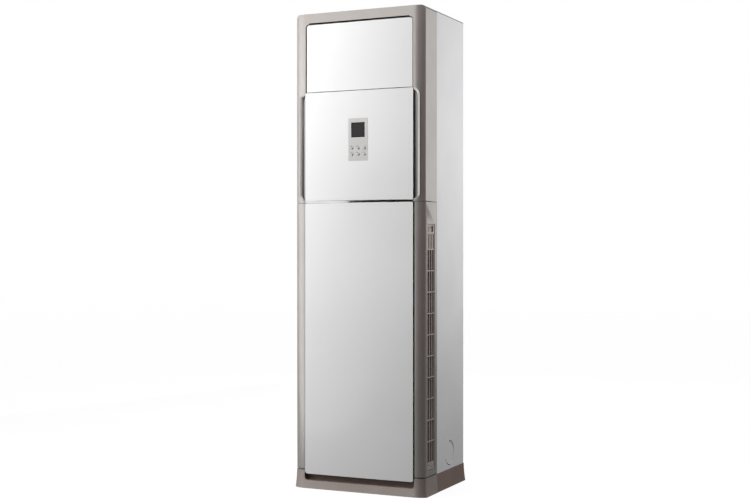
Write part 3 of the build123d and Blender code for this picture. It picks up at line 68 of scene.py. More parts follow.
# ---- Base skirt ----
# The foot that the cabinet stands in: one deep frame moulded in taupe ABS, grained so that
# scuffs don't show, and screwed down to the base pan.


def swatch(red, green, blue):
    """A paint swatch's colour, read in the usual 0 to 255 steps, as light."""
    steps = (red / 255, green / 255, blue / 255)
    return tuple(s / 12.92 if s <= 0.04045 else ((s + 0.055) / 1.055) ** 2.4 for s in steps)


def new_finish(name):
    """A finish to be filled in: the material, its nodes, its shader and the piece's own coordinates."""
    finish = bpy.data.materials.new(name)
    finish.use_nodes = True
    tree = finish.node_tree
    shader = tree.nodes["Principled BSDF"]
    place = tree.nodes.new("ShaderNodeTexCoord").outputs["Object"]
    return finish, tree, shader, place


def clouds(tree, place, size, detail=2.0, roughness=0.5):
    """Soft patches about as large as size, in metres, from 0 to 1."""
    noise = tree.nodes.new("ShaderNodeTexNoise")
    noise.inputs["Scale"].default_value = 1 / size
    noise.inputs["Detail"].default_value = detail
    noise.inputs["Roughness"].default_value = roughness
    tree.links.new(place, noise.inputs["Vector"])
    return noise.outputs["Fac"]


def stretched(tree, place, x, y, z):
    """The piece's coordinates drawn out along an axis, for brushed or drawn metal."""
    mapping = tree.nodes.new("ShaderNodeMapping")
    mapping.inputs["Scale"].default_value = (x, y, z)
    tree.links.new(place, mapping.inputs["Vector"])
    return mapping.outputs["Vector"]


def ranged(tree, amount, low, high, start=0.2, end=0.8):
    """An amount spread between two levels, eased at both ends."""
    node = tree.nodes.new("ShaderNodeMapRange")
    node.interpolation_type = "SMOOTHSTEP"
    node.inputs["From Min"].default_value = start
    node.inputs["From Max"].default_value = end
    node.inputs["To Min"].default_value = low
    node.inputs["To Max"].default_value = high
    tree.links.new(amount, node.inputs["Value"])
    return node.outputs["Result"]


def two_tone(tree, amount, first, second, start=0.2, end=0.8):
    """A colour that drifts between two tones."""
    node = tree.nodes.new("ShaderNodeValToRGB")
    node.color_ramp.interpolation = "EASE"
    node.color_ramp.elements[0].position = start
    node.color_ramp.elements[0].color = (*first, 1)
    node.color_ramp.elements[1].position = end
    node.color_ramp.elements[1].color = (*second, 1)
    tree.links.new(amount, node.inputs["Fac"])
    return node.outputs["Color"]


def grained(tree, shader, heights, depth):
    """Raises the surface by a fine relief, depth in metres."""
    bump = tree.nodes.new("ShaderNodeBump")
    bump.inputs["Strength"].default_value = 1.0
    bump.inputs["Distance"].default_value = depth
    tree.links.new(heights, bump.inputs["Height"])
    tree.links.new(bump.outputs["Normal"], shader.inputs["Normal"])


def taupe_abs(name, light, dark, grain=0.0009, depth=0.00003, sheen_low=0.36, sheen_high=0.46):
    """Painted ABS in a warm grey, with a fine moulded grain and slight drifts of tone."""
    finish, tree, shader, place = new_finish(name)
    drift = clouds(tree, place, 0.16)
    tree.links.new(two_tone(tree, drift, dark, light), shader.inputs["Base Color"])
    tree.links.new(ranged(tree, clouds(tree, place, 0.05), sheen_low, sheen_high), shader.inputs["Roughness"])
    grained(tree, shader, clouds(tree, place, grain, detail=1.0), depth)
    return finish


def paint(finish, *names):
    """Gives CAD nodes one finish all over."""
    for name in names:
        nodes[name].data.materials.clear()
        nodes[name].data.materials.append(finish)


def placed(name, data):
    """An object for a mesh, a lamp or a camera, put into the scene."""
    item = bpy.data.objects.new(name, data)
    bpy.context.scene.collection.objects.link(item)
    return item


def ease_edges(piece, width, angle=35, segments=2):
    """Rounds the edges that are sharper than the angle, in degrees, and leaves the flats flat."""
    edge = piece.modifiers.new("eased edges", "BEVEL")
    edge.width = width
    edge.segments = segments
    edge.limit_method = "ANGLE"
    edge.angle_limit = math.radians(angle)
    edge.harden_normals = True
    return edge


def eased(name, node, width, finish, body="cabinet", angle=35, segments=2, inner=None,
          rounded=(), cuts=(), rim=0):
    """A piece of a node's own shape with its sharp edges eased, as a mould or press leaves them.

    Inner names a second finish for the faces that a test picks out by middle and direction, and
    rounded gives wider radii to the edges that its tests pick out by their ends. Cuts are planes, each
    a point and a direction, that part the faces where the second finish starts, and rim is the
    width of a border of it round the front."""
    mesh = nodes[node].data.copy()
    mesh.name = name
    mesh.materials.clear()
    mesh.materials.append(finish)
    if inner:
        mesh.materials.append(inner[0])
    work = bmesh.new()
    work.from_mesh(mesh)
    bmesh.ops.remove_doubles(work, verts=work.verts, dist=1e-6)
    for picks, reach in rounded:
        chosen = [e for e in work.edges if picks(e.verts[0].co, e.verts[1].co)]
        bmesh.ops.bevel(work, geom=chosen, offset=reach, segments=4, profile=0.5, affect="EDGES")
    for point, across in cuts:
        everything = work.verts[:] + work.edges[:] + work.faces[:]
        bmesh.ops.bisect_plane(work, geom=everything, plane_co=point, plane_no=across)
    border = set()
    if rim:
        front = [f for f in work.faces if f.normal.y < -0.95]
        border = set(bmesh.ops.inset_region(work, faces=front, thickness=rim)["faces"])
    for face in work.faces:
        face.smooth = True
        face.material_index = 1 if face in border else 0
        if inner and inner[1](face.calc_center_median(), face.normal):
            face.material_index = 1
    work.to_mesh(mesh)
    work.free()
    if mesh.attributes.get("custom_normal"):
        mesh.attributes.remove(mesh.attributes["custom_normal"])
    piece = placed(name, mesh)
    ease_edges(piece, width, angle, segments).miter_outer = "MITER_ARC"
    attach(piece, body)
    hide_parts(node)


def parted(tree, place, axis, start, end):
    """0 before a line across the piece and 1 behind it."""
    split = tree.nodes.new("ShaderNodeSeparateXYZ")
    tree.links.new(place, split.inputs["Vector"])
    return ranged(tree, split.outputs[axis], 0.0, 1.0, start, end)


def skirt_taupe(name, front, front_dark, rear, rear_dark, line):
    """Taupe ABS, painted like the front mouldings where it carries them and left dark behind."""
    finish, tree, shader, place = new_finish(name)
    drift = clouds(tree, place, 0.16)
    behind = parted(tree, place, "Y", line - 0.0002, line + 0.0002)
    tones = tree.nodes.new("ShaderNodeMix")
    tones.data_type = "RGBA"
    tree.links.new(behind, tones.inputs["Factor"])
    tree.links.new(two_tone(tree, drift, front_dark, front), tones.inputs["A"])
    tree.links.new(two_tone(tree, drift, rear_dark, rear), tones.inputs["B"])
    tree.links.new(tones.outputs["Result"], shader.inputs["Base Color"])
    tree.links.new(ranged(tree, behind, 0.5, 0.0, 0.0, 1.0), shader.inputs["Metallic"])
    tree.links.new(ranged(tree, clouds(tree, place, 0.05), 0.34, 0.44), shader.inputs["Roughness"])
    grained(tree, shader, clouds(tree, place, 0.0009, detail=1.0), 0.000012)
    return finish


board_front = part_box("side_board_left")[0].y
skirt_finish = skirt_taupe("skirt_taupe", swatch(186, 175, 169), swatch(178, 167, 161),
                           swatch(132, 115, 107), swatch(122, 105, 97), board_front)
# The toe recess takes a darker taupe than the skirt: painted shade in its walls and floor.
toe_shade_finish = taupe_abs("toe_shade_taupe", swatch(138, 121, 112), swatch(127, 110, 102))
toe_half = 0.2295
toe_front, toe_back = -0.2045, -0.1825
toe_low, toe_high = 0.0305, 0.0705


def in_the_toe(middle, facing):
    """The walls and floor of the toe recess, which get a darker taupe as painted shade."""
    across = abs(middle.x) < toe_half and toe_front < middle.y < toe_back
    return across and toe_low < middle.z < toe_high


eased("skirt_moulding", "base_skirt", 0.0009, skirt_finish,
      inner=(toe_shade_finish, in_the_toe))

# ---- Base pan ----
# A shallow tray of galvanised steel inside the skirt. It carries the side boards and the floor
# bolts go through it; the zinc shows its spangle and a few dull patches.


def spangled_zinc(name, light, dark, size=0.009, rough_low=0.3, rough_high=0.46):
    """Hot dipped steel: flat crystals of zinc, each with its own tone and gloss."""
    finish, tree, shader, place = new_finish(name)
    crystals = tree.nodes.new("ShaderNodeTexVoronoi")
    crystals.inputs["Scale"].default_value = 1 / size
    crystals.inputs["Randomness"].default_value = 1.0
    tree.links.new(place, crystals.inputs["Vector"])
    split = tree.nodes.new("ShaderNodeSeparateColor")
    tree.links.new(crystals.outputs["Color"], split.inputs["Color"])
    tree.links.new(two_tone(tree, split.outputs["Red"], dark, light, 0.0, 1.0), shader.inputs["Base Color"])
    tree.links.new(ranged(tree, split.outputs["Green"], rough_low, rough_high, 0.0, 1.0),
                   shader.inputs["Roughness"])
    grained(tree, shader, clouds(tree, place, 0.004), 0.00004)
    shader.inputs["Metallic"].default_value = 1.0
    return finish


zinc_light = swatch(196, 199, 201)
zinc_dark = swatch(164, 168, 171)
zinc_finish = spangled_zinc("galvanised_zinc", zinc_light, zinc_dark)
paint(zinc_finish, "base_pan")

# ---- Side boards and back ----
# Folded steel boards with a baked white powder coat, whose skin has a faint orange peel. The
# boards bend round into the back, and the back sheet, stiffened by two pressed beads, laps them.


def powder_coat(name, light, dark, peel=0.0035, depth=0.000008, rough_low=0.4, rough_high=0.48):
    """Baked coat on sheet steel: an even pale tone and a low, rounded orange peel."""
    finish, tree, shader, place = new_finish(name)
    tree.links.new(two_tone(tree, clouds(tree, place, 0.25), dark, light), shader.inputs["Base Color"])
    gloss = ranged(tree, clouds(tree, place, 0.08), rough_low, rough_high)
    tree.links.new(gloss, shader.inputs["Roughness"])
    grained(tree, shader, clouds(tree, place, peel, detail=1.0), depth)
    return finish


board_light = swatch(222, 222, 223)
board_dark = swatch(214, 214, 216)
board_finish = powder_coat("board_coat", board_light, board_dark)
for side in ("left", "right"):
    paint(board_finish, f"side_board_{side}")
paint(board_finish, "rear_panel")


def pan_head(name, spot, facing, radius, finish, body="cabinet", height=0.45):
    """Cross recessed pan head screw: a low dome turned on its axis, with a cross pressed into it."""
    shape = bmesh.new()
    turns = 24
    rings = [(1.0, 0.0), (1.0, 0.35), (0.9, 0.72), (0.66, 0.93), (0.36, 1.0)]
    loops = []
    for share, rise in rings:
        loops.append([shape.verts.new((radius * share * math.cos(2 * math.pi * k / turns),
                                       radius * share * math.sin(2 * math.pi * k / turns),
                                       radius * height * rise)) for k in range(turns)])
    for lower, upper in zip(loops, loops[1:]):
        for k in range(turns):
            shape.faces.new((lower[k], lower[(k + 1) % turns], upper[(k + 1) % turns], upper[k]))
    shape.faces.new(list(reversed(loops[0])))
    slot_half, slot_reach = 0.09 * radius, 0.36 * radius
    slot_taper, slot_floor = 0.8, 0.35
    order = []
    for quarter in range(4):
        turn = Matrix.Rotation(-math.pi / 2 * quarter, 3, "Z")
        for x, y in ((slot_half, slot_half), (slot_reach, slot_half), (slot_reach, -slot_half)):
            order.append(turn @ Vector((x, y, 0)))
    cross = [shape.verts.new((p.x, p.y, radius * height)) for p in order]
    floor = [shape.verts.new((p.x * slot_taper, p.y * slot_taper, radius * height * slot_floor))
             for p in order]
    count = len(cross)
    for k in range(count):
        shape.faces.new((cross[k], cross[(k + 1) % count], floor[(k + 1) % count], floor[k]))
    shape.faces.new(floor)
    bmesh.ops.bridge_loops(shape, edges=[e for e in shape.edges if e.is_boundary])
    bmesh.ops.recalc_face_normals(shape, faces=shape.faces)
    for face in shape.faces:
        face.smooth = True
    mesh = bpy.data.meshes.new(name)
    shape.to_mesh(mesh)
    shape.free()
    mesh.set_sharp_from_angle(angle=math.radians(40))
    mesh.materials.append(finish)
    screw = placed(name, mesh)
    turned = Vector(facing).to_track_quat("Z", "Y").to_matrix().to_4x4()
    screw.matrix_world = Matrix.Translation(spot) @ turned
    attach(screw, body)


screw_zinc = spangled_zinc("screw_zinc", swatch(205, 203, 196), swatch(176, 173, 166), size=0.003)
rear_low, rear_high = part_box("rear_panel")
back_y = rear_high.y - 0.0025
screw_rows, end_margin, side_margin = 6, 0.04, 0.012
for row in range(screw_rows):
    run = rear_high.z - rear_low.z - 2 * end_margin
    height = rear_low.z + end_margin + row * run / (screw_rows - 1)
    for edge in (-1, 1):
        pan_head(f"back_screw_{'left' if edge < 0 else 'right'}_{row + 1}",
                 (edge * (rear_high.x - side_margin), back_y, height), (0, 1, 0), 0.0042, screw_zinc)

# ---- Top lid ----
# A folded lid of bare galvanised steel closes the cabinet; nobody sees it from below, and its
# rim laps the boards.

lid_finish = spangled_zinc("lid_zinc", swatch(158, 158, 159), swatch(138, 138, 140), size=0.012)
paint(lid_finish, "top_cover")

# ---- Shelf, drain pan and coil ----
# A galvanised shelf parts the fan's room from the coil's. On it stands the moulded drain pan,
# and over that leans the coil: thin aluminium fins on copper tubes between two end plates.

paint(zinc_finish, "partition_plate")


def plain_moulding(name, light, dark, grain=0.0008, depth=0.00002, low=0.42, high=0.55):
    """Unpainted moulded plastic with a fine spark grain."""
    finish, tree, shader, place = new_finish(name)
    tree.links.new(two_tone(tree, clouds(tree, place, 0.12), dark, light), shader.inputs["Base Color"])
    tree.links.new(ranged(tree, clouds(tree, place, 0.03), low, high), shader.inputs["Roughness"])
    grained(tree, shader, clouds(tree, place, grain, detail=1.0), depth)
    return finish


foam_grey = plain_moulding("drain_pan_grey", swatch(196, 196, 192), swatch(184, 184, 180))
paint(foam_grey, "drain_pan")


def fine_lines(tree, place, direction, pitch):
    """Straight lines across one axis, one to each pitch in metres, from 0 to 1."""
    lines = tree.nodes.new("ShaderNodeTexWave")
    lines.wave_type = "BANDS"
    lines.bands_direction = direction
    lines.inputs["Scale"].default_value = 2 * math.pi / pitch / 20
    tree.links.new(place, lines.inputs["Vector"])
    return lines.outputs["Fac"]


def fin_stock(name, light, dark, pitch=0.0018):
    """Pack of thin fins seen edge on: fine bright lines for the fins and dark lines of painted shade between
    them, and a few dull patches.
    """
    finish, tree, shader, place = new_finish(name)
    lines = fine_lines(tree, place, "X", pitch)
    tree.links.new(two_tone(tree, lines, dark, light, 0.1, 0.9), shader.inputs["Base Color"])
    tree.links.new(ranged(tree, clouds(tree, place, 0.04), 0.28, 0.42), shader.inputs["Roughness"])
    grained(tree, shader, lines, 0.0003)
    shader.inputs["Metallic"].default_value = 1.0
    return finish


fin_finish = fin_stock("fin_aluminium", swatch(214, 217, 220), swatch(120, 124, 128))
paint(fin_finish, "evaporator_fins")
end_finish = spangled_zinc("end_plate_zinc", zinc_light, zinc_dark, size=0.006)
paint(end_finish, "evaporator_ends")


def drawn_copper(name, bright, tarnished):
    """Drawn copper tube: bright along the draw, with browner patches where it was handled and brazed."""
    finish, tree, shader, place = new_finish(name)
    patches = clouds(tree, place, 0.05, detail=4.0)
    tree.links.new(two_tone(tree, patches, tarnished, bright, 0.35, 0.62), shader.inputs["Base Color"])
    tree.links.new(ranged(tree, patches, 0.42, 0.22, 0.35, 0.62), shader.inputs["Roughness"])
    grained(tree, shader, clouds(tree, stretched(tree, place, 1, 1, 0.05), 0.0012), 0.00002)
    shader.inputs["Metallic"].default_value = 1.0
    return finish


copper_finish = drawn_copper("tube_copper", swatch(222, 142, 104), swatch(150, 84, 58))
paint(copper_finish, "copper_circuit")

# ---- Fan ----
# A sirocco wheel in a moulded scroll draws room air in from the sides and drives it up the neck.
# The wheel is black glass filled plastic on a steel shaft; its motor hangs on a steel bracket.

scroll_finish = plain_moulding("scroll_white", swatch(214, 213, 208), swatch(203, 202, 197))
paint(scroll_finish, "fan_volute", "volute_front")
wheel_finish = plain_moulding("wheel_black", swatch(54, 55, 58), swatch(40, 41, 44), grain=0.0012,
                              depth=0.00004, low=0.46, high=0.6)
paint(wheel_finish, "fan_impeller")


def turned_steel(name, light, dark):
    """Bright steel turned on a lathe: fine rings round an axis that lies front to back."""
    finish, tree, shader, place = new_finish(name)
    rings = clouds(tree, stretched(tree, place, 0.02, 1, 0.02), 0.0011, detail=3.0)
    tree.links.new(two_tone(tree, rings, dark, light), shader.inputs["Base Color"])
    tree.links.new(ranged(tree, rings, 0.22, 0.34), shader.inputs["Roughness"])
    grained(tree, shader, rings, 0.00002)
    shader.inputs["Metallic"].default_value = 1.0
    return finish


shaft_finish = turned_steel("shaft_steel", swatch(206, 207, 209), swatch(170, 171, 174))
paint(shaft_finish, "fan_shaft")
motor_finish = powder_coat("motor_grey", swatch(92, 94, 98), swatch(78, 80, 84), peel=0.002, rough_low=0.34,
                           rough_high=0.44)
paint(motor_finish, "fan_motor")
paint(zinc_finish, "motor_bracket")
fan_axis = (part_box("fan_shaft")[0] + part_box("fan_shaft")[1]) / 2
bracket_low, bracket_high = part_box("motor_bracket")
screw_reach = (bracket_high.x - bracket_low.x) / 2 - 0.016
for number, (across, up) in enumerate(((1, 1), (-1, 1), (-1, -1), (1, -1)), 1):
    spot = (fan_axis.x + screw_reach * across, bracket_low.y + 0.002, fan_axis.z + screw_reach * up)
    pan_head(f"bracket_screw_{number}", spot, (0, 1, 0), 0.0045, screw_zinc)

# ---- Control box ----
# A zinc coated steel box on its own upright, closed by a pushed-on lid with two screws. Inside
# are the main board with its relays, the fan's capacitor and the terminal block.

box_finish = spangled_zinc("control_box_zinc", zinc_light, zinc_dark, size=0.012)
paint(box_finish, "control_box", "control_lid")


def lacquered_board(name, green, track, part):
    """Circuit board: green lacquer over copper tracks, which show as paler lines."""
    finish, tree, shader, place = new_finish(name)
    tracks = tree.nodes.new("ShaderNodeTexBrick")
    tracks.inputs["Scale"].default_value = 60
    tracks.inputs["Mortar Size"].default_value = 0.03
    tracks.inputs["Color1"].default_value = (*green, 1)
    tracks.inputs["Color2"].default_value = (*part, 1)
    tracks.inputs["Mortar"].default_value = (*track, 1)
    turned = tree.nodes.new("ShaderNodeMapping")
    turned.inputs["Rotation"].default_value = (math.pi / 2, 0, 0)
    tree.links.new(place, turned.inputs["Vector"])
    tree.links.new(turned.outputs["Vector"], tracks.inputs["Vector"])
    tree.links.new(tracks.outputs["Color"], shader.inputs["Base Color"])
    tree.links.new(ranged(tree, clouds(tree, place, 0.01), 0.25, 0.4), shader.inputs["Roughness"])
    grained(tree, shader, tracks.outputs["Fac"], 0.00003)
    return finish


lacquer_finish = lacquered_board("board_lacquer", swatch(34, 92, 58), swatch(96, 150, 104),
                                 swatch(28, 80, 50))
paint(lacquer_finish, "control_parts", "display_board")
lid_box_low, lid_box_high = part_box("control_lid")
lid_middle = (lid_box_low.x + lid_box_high.x) / 2
lid_reach = (lid_box_high.x - lid_box_low.x) * 0.44
for edge in (-1, 1):
    spot = (lid_middle + edge * lid_reach, lid_box_low.y, lid_box_high.z - 0.012)
    pan_head(f"lid_screw_{'left' if edge < 0 else 'right'}", spot, (0, -1, 0), 0.004, screw_zinc)

# ---- Front mouldings ----
# The upper and the lower fascia meet at a parting line across the pilasters. Both are ABS in a
# satin taupe paint with a little pearl in it, clipped to the boards; the cap closes the top.


def taupe_pearl(name, light, dark):
    """Satin taupe paint with pearl flake: part metallic, so it dulls where it curves away from the light."""
    finish, tree, shader, place = new_finish(name)
    drift = clouds(tree, place, 0.2)
    flakes = clouds(tree, place, 0.0006, detail=0.0)
    tree.links.new(two_tone(tree, drift, dark, light), shader.inputs["Base Color"])
    tree.links.new(ranged(tree, clouds(tree, place, 0.06), 0.28, 0.33), shader.inputs["Roughness"])
    grained(tree, shader, flakes, 0.000006)
    shader.inputs["Metallic"].default_value = 0.55
    return finish


fascia_light = swatch(192, 188, 184)
fascia_dark = swatch(186, 181, 177)
fascia_finish = taupe_pearl("fascia_taupe", fascia_light, fascia_dark)
# A dull near black with little gloss, used as painted shade in the joints, gaps, recesses and turned edges
# round the front panels.
painted_shade_black = plain_moulding("painted_shade_black", swatch(28, 25, 24), swatch(20, 18, 17), low=0.7, high=0.8)
painted_shade_black.node_tree.nodes["Principled BSDF"].inputs["Specular IOR Level"].default_value = 0.1
front_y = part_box("lower_fascia")[0].y
lip_back = front_y + 0.0015
side_face = 0.2695
seat_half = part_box("service_panel")[1].x + 0.0015
door_low, door_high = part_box("outlet_door")
seam_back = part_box("lower_fascia")[1].y - 0.0012
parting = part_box("lower_fascia")[1].z
parting_rim = 0.0005
lower_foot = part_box("lower_fascia")[0].z
foot_rim = 0.0008
# A dark line of painted shade runs down the right of the service panel's seat.
shade_line_start, shade_line_edge = 0.2, seat_half + 0.0022


def behind_the_panel(middle, facing):
    """Painted shade: the service panel's seat, a dark line down the right of it, the rear edges and the rims
    of the joints.
    """
    seat = abs(middle.x) < seat_half and middle.y > lip_back
    shade_line = shade_line_start < middle.x < shade_line_edge and middle.y < lip_back
    joints = middle.z > parting - parting_rim or middle.z < lower_foot + foot_rim
    return seat or shade_line or joints or (abs(middle.x) > side_face and middle.y > seam_back)


upper_foot, upper_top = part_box("upper_fascia")
cap_seam = upper_top.z - 0.009
gap_half = 0.2105
gap_low = door_high.z + 0.0015
gap_high = door_high.z + 0.006
gap_back = front_y + 0.003
outlet_half = door_high.x + 0.006
cap_lip = 0.002


def behind_the_door(middle, facing):
    """Painted shade: the rim of the outlet opening and all that lies behind it, a band over the door's top
    gap and the rims of the joints.
    """
    outlet = middle.y > lip_back and abs(middle.x) < outlet_half and middle.z > door_low.z
    lid_joint = middle.z > cap_seam and middle.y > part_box("top_cap")[0].y + cap_lip
    door_gap = abs(middle.x) < gap_half and gap_low < middle.z < gap_high and middle.y < gap_back
    return outlet or lid_joint or door_gap or middle.z < upper_foot.z + parting_rim


corner_front, corner_run, corner_round = -0.19, 0.1, 0.0028


def long_corners(first, second):
    """The upright edges between the front and the sides."""
    corner = all(abs(p.x) > side_face and p.y < corner_front for p in (first, second))
    return corner and abs(first.z - second.z) > corner_run


# Both mouldings take the black finish as painted shade where their tests pick out the faces.
eased("upper_front_moulding", "upper_fascia", 0.0007, fascia_finish,
      inner=(painted_shade_black, behind_the_door), rounded=((long_corners, corner_round),),
      cuts=(((0, 0, upper_foot.z + parting_rim), (0, 0, 1)), ((0, 0, cap_seam), (0, 0, 1)),
            ((0, 0, gap_high), (0, 0, 1)), ((gap_half, 0, 0), (1, 0, 0)),
            ((-gap_half, 0, 0), (1, 0, 0))))
eased("lower_front_moulding", "lower_fascia", 0.0007, fascia_finish,
      inner=(painted_shade_black, behind_the_panel), rounded=((long_corners, corner_round),),
      cuts=(((0, seam_back, 0), (0, 1, 0)), ((0, 0, parting - parting_rim), (0, 0, 1)),
            ((shade_line_edge, 0, 0), (1, 0, 0)), ((0, 0, lower_foot + foot_rim), (0, 0, 1))))
cap_finish = taupe_abs("cap_brown", swatch(92, 80, 74), swatch(84, 72, 66), sheen_low=0.36, sheen_high=0.44)
eased("top_cap_moulding", "top_cap", 0.0006, cap_finish)

# ---- Recess trims ----
# A satin plated strip clips over each side of the recess behind the display panel and follows its
# rounded corners. Its face leans in to the middle, so one mirrors the white side and one the dark.


def plated(name, light, dark, smooth=0.05, worn=0.08):
    """Bright plating with faint drifts of gloss."""
    finish, tree, shader, place = new_finish(name)
    tree.links.new(two_tone(tree, clouds(tree, place, 0.05), dark, light), shader.inputs["Base Color"])
    tree.links.new(ranged(tree, clouds(tree, place, 0.02), smooth, worn), shader.inputs["Roughness"])
    grained(tree, shader, clouds(tree, place, 0.01, detail=0.0), 0.000002)
    shader.inputs["Metallic"].default_value = 1.0
    return finish


plating = plated("bright_plating", swatch(238, 238, 238), swatch(228, 228, 229))
trim_finish = plated("satin_plating", swatch(236, 235, 234), swatch(226, 225, 224), 0.29, 0.33)
flat_half = 0.226
pilaster_radius = 0.07614
corner_x, corner_radius, corner_high, corner_low = 0.2215, 0.025, 1.492, 1.128
trim_outer, trim_inner = corner_radius + 0.0042, corner_radius - 0.0045
trim_section = ((trim_outer, -0.0006), (trim_inner, 0.0016), (trim_inner, 0.0049), (trim_outer, 0.0012))
trim_sweep, trim_steps = math.radians(76), 10


def trim_ring(angle, z, side):
    """One cross-section of the trim: outer front, inner front, inner back and outer back."""
    ring = []
    for radius, sunk in trim_section:
        x = corner_x + radius * math.cos(angle)
        across = max(corner_x + corner_radius * math.cos(angle) - flat_half, 0)
        front = front_y + pilaster_radius - math.sqrt(pilaster_radius ** 2 - across ** 2)
        ring.append((side * x, front + sunk, z + radius * math.sin(angle)))
    return ring


def recess_trim(name, side):
    """A trim strip swept round one side of the recess."""
    stops = range(trim_steps + 1)
    steps = [(-trim_sweep + trim_sweep * k / trim_steps, corner_low) for k in stops]
    steps += [(trim_sweep * k / trim_steps, corner_high) for k in stops]
    work = bmesh.new()
    rings = [[work.verts.new(point) for point in trim_ring(angle, z, side)] for angle, z in steps]
    for near, far in zip(rings, rings[1:]):
        for k in range(4):
            face = work.faces.new((near[k], near[(k + 1) % 4], far[(k + 1) % 4], far[k]))
            face.smooth = True
    work.faces.new(rings[0])
    work.faces.new(list(reversed(rings[-1])))
    bmesh.ops.recalc_face_normals(work, faces=work.faces)
    mesh = bpy.data.meshes.new(name)
    work.to_mesh(mesh)
    work.free()
    mesh.materials.append(trim_finish)
    piece = placed(name, mesh)
    ease_edges(piece, 0.0004)
    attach(piece, "cabinet")


recess_trim("recess_trim_right", 1)
recess_trim("recess_trim_left", -1)

# ---- Side intakes ----
# Ribbed grilles in the fascia's plastic tilt out on bottom pins, and each carries a washable
# filter: a ribbed frame moulded round fine dark netting.

grille_finish = taupe_abs("grille_taupe", swatch(168, 159, 153), swatch(158, 149, 143))


def woven_net(name, thread, gap, pitch=0.0012):
    """Fine plastic netting: pale threads both ways over the dark behind it."""
    finish, tree, shader, place = new_finish(name)
    both = []
    for direction in ("Y", "Z"):
        both.append(fine_lines(tree, place, direction, pitch))
    weave = tree.nodes.new("ShaderNodeMath")
    weave.operation = "MAXIMUM"
    tree.links.new(both[0], weave.inputs[0])
    tree.links.new(both[1], weave.inputs[1])
    tree.links.new(two_tone(tree, weave.outputs["Value"], gap, thread, 0.75, 0.95),
                   shader.inputs["Base Color"])
    grained(tree, shader, weave.outputs["Value"], 0.0002)
    shader.inputs["Roughness"].default_value = 0.7
    return finish


net_finish = woven_net("filter_net", swatch(156, 140, 132), swatch(130, 114, 107))
for side in ("left", "right"):
    eased(f"intake_louvre_{side}", f"intake_grille_{side}", 0.0005, grille_finish, body=f"grille_{side}")
    paint(net_finish, f"intake_filter_{side}")

# ---- Air outlet ----
# A duct moulded in pale ABS behind the door. Five level louvres and, behind them, five upright
# vanes turn in it; each set is joined by a link bar and driven by a small stepper motor.

outlet_finish = plain_moulding("outlet_pale", swatch(206, 203, 197), swatch(195, 192, 186))
paint(outlet_finish, "outlet_frame")
blade_finish = plain_moulding("louvre_pale", swatch(222, 220, 215), swatch(212, 210, 205), low=0.34,
                              high=0.44)
vane_finish = plain_moulding("vane_grey", swatch(120, 118, 115), swatch(106, 104, 101))
link_finish = plain_moulding("link_white", swatch(228, 228, 224), swatch(216, 216, 212), low=0.3, high=0.42)
for number in range(1, 6):
    paint(blade_finish, f"louvre_{number}")
    paint(vane_finish, f"vane_{number}")
paint(link_finish, "louvre_link", "vane_link")
can_finish = powder_coat("stepper_zinc", swatch(176, 178, 180), swatch(156, 158, 160), peel=0.0015)
paint(can_finish, "louvre_motor", "vane_motor", "door_motor")

# ---- Door drive ----
# The door rides on leaning channels. A rack on each side of it meshes with a pinion on a steel
# cross shaft, so both edges move together. Racks, pinions and channels are white acetal.

acetal_finish = plain_moulding("acetal_white", swatch(232, 231, 226), swatch(220, 219, 213), low=0.24,
                               high=0.34)
for side in ("left", "right"):
    paint(acetal_finish, f"door_rack_{side}", f"door_rail_{side}")
paint(acetal_finish, "pinion_shaft")

# ---- White front panels ----
# Three bowed panels in silver white pearl paint under a clear coat: the sliding outlet door, the display
# panel and the long service panel. Their edges are eased, and the backs, the turned edges, a rim round the
# door and a strip down the service panel's right edge are painted black as shade.


def pearl_white(name, light, dark):
    """Silver white pearl paint under a clear coat, nearly even, with a very fine sparkle."""
    finish, tree, shader, place = new_finish(name)
    sparkle = clouds(tree, place, 0.0007, detail=0.0)
    drift = clouds(tree, place, 0.4)
    mixed = tree.nodes.new("ShaderNodeMath")
    mixed.operation = "MULTIPLY_ADD"
    mixed.inputs[1].default_value = 0.12
    tree.links.new(sparkle, mixed.inputs[0])
    tree.links.new(drift, mixed.inputs[2])
    tree.links.new(two_tone(tree, mixed.outputs["Value"], dark, light, 0.1, 1.0),
                   shader.inputs["Base Color"])
    tree.links.new(ranged(tree, drift, 0.285, 0.33), shader.inputs["Roughness"])
    grained(tree, shader, clouds(tree, place, 0.006, detail=0.0), 0.00001)
    shader.inputs["Coat Weight"].default_value = 0.5
    shader.inputs["Coat Roughness"].default_value = 0.12
    return finish


panel_light = swatch(228, 228, 228)
panel_dark = swatch(222, 222, 222)
panel_finish = pearl_white("panel_pearl", panel_light, panel_dark)


def panel_returns(node):
    """A test for the turned edges and the back of a bowed panel, which are painted dark as shade."""
    face_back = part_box(node)[0].y + 0.0029
    return lambda middle, facing: middle.y > face_back and facing.y > -0.5


# The black rim round the door's front is painted shade over the gap round it.
eased("outlet_door_skin", "outlet_door", 0.0006, panel_finish, body="door",
      inner=(painted_shade_black, panel_returns("outlet_door")), rim=0.0011)
eased("display_panel_skin", "display_panel", 0.0008, panel_finish,
      inner=(painted_shade_black, panel_returns("display_panel")))
service_low, service_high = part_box("service_panel")
shade_strip_edge = service_high.x - 0.002
service_returns = panel_returns("service_panel")


def service_dark(middle, facing):
    """Painted shade on the service panel: its turned edges and back, and a strip down its right edge."""
    return middle.x > shade_strip_edge or service_returns(middle, facing)


eased("service_panel_skin", "service_panel", 0.0006, panel_finish,
      inner=(painted_shade_black, service_dark), cuts=(((shade_strip_edge, 0, 0), (1, 0, 0)),))

# ---- Bright strip ----
# A plated strip clipped into the joint between the display panel and the service panel. It is
# smooth enough to mirror the room, so it turns from white to black along its length.

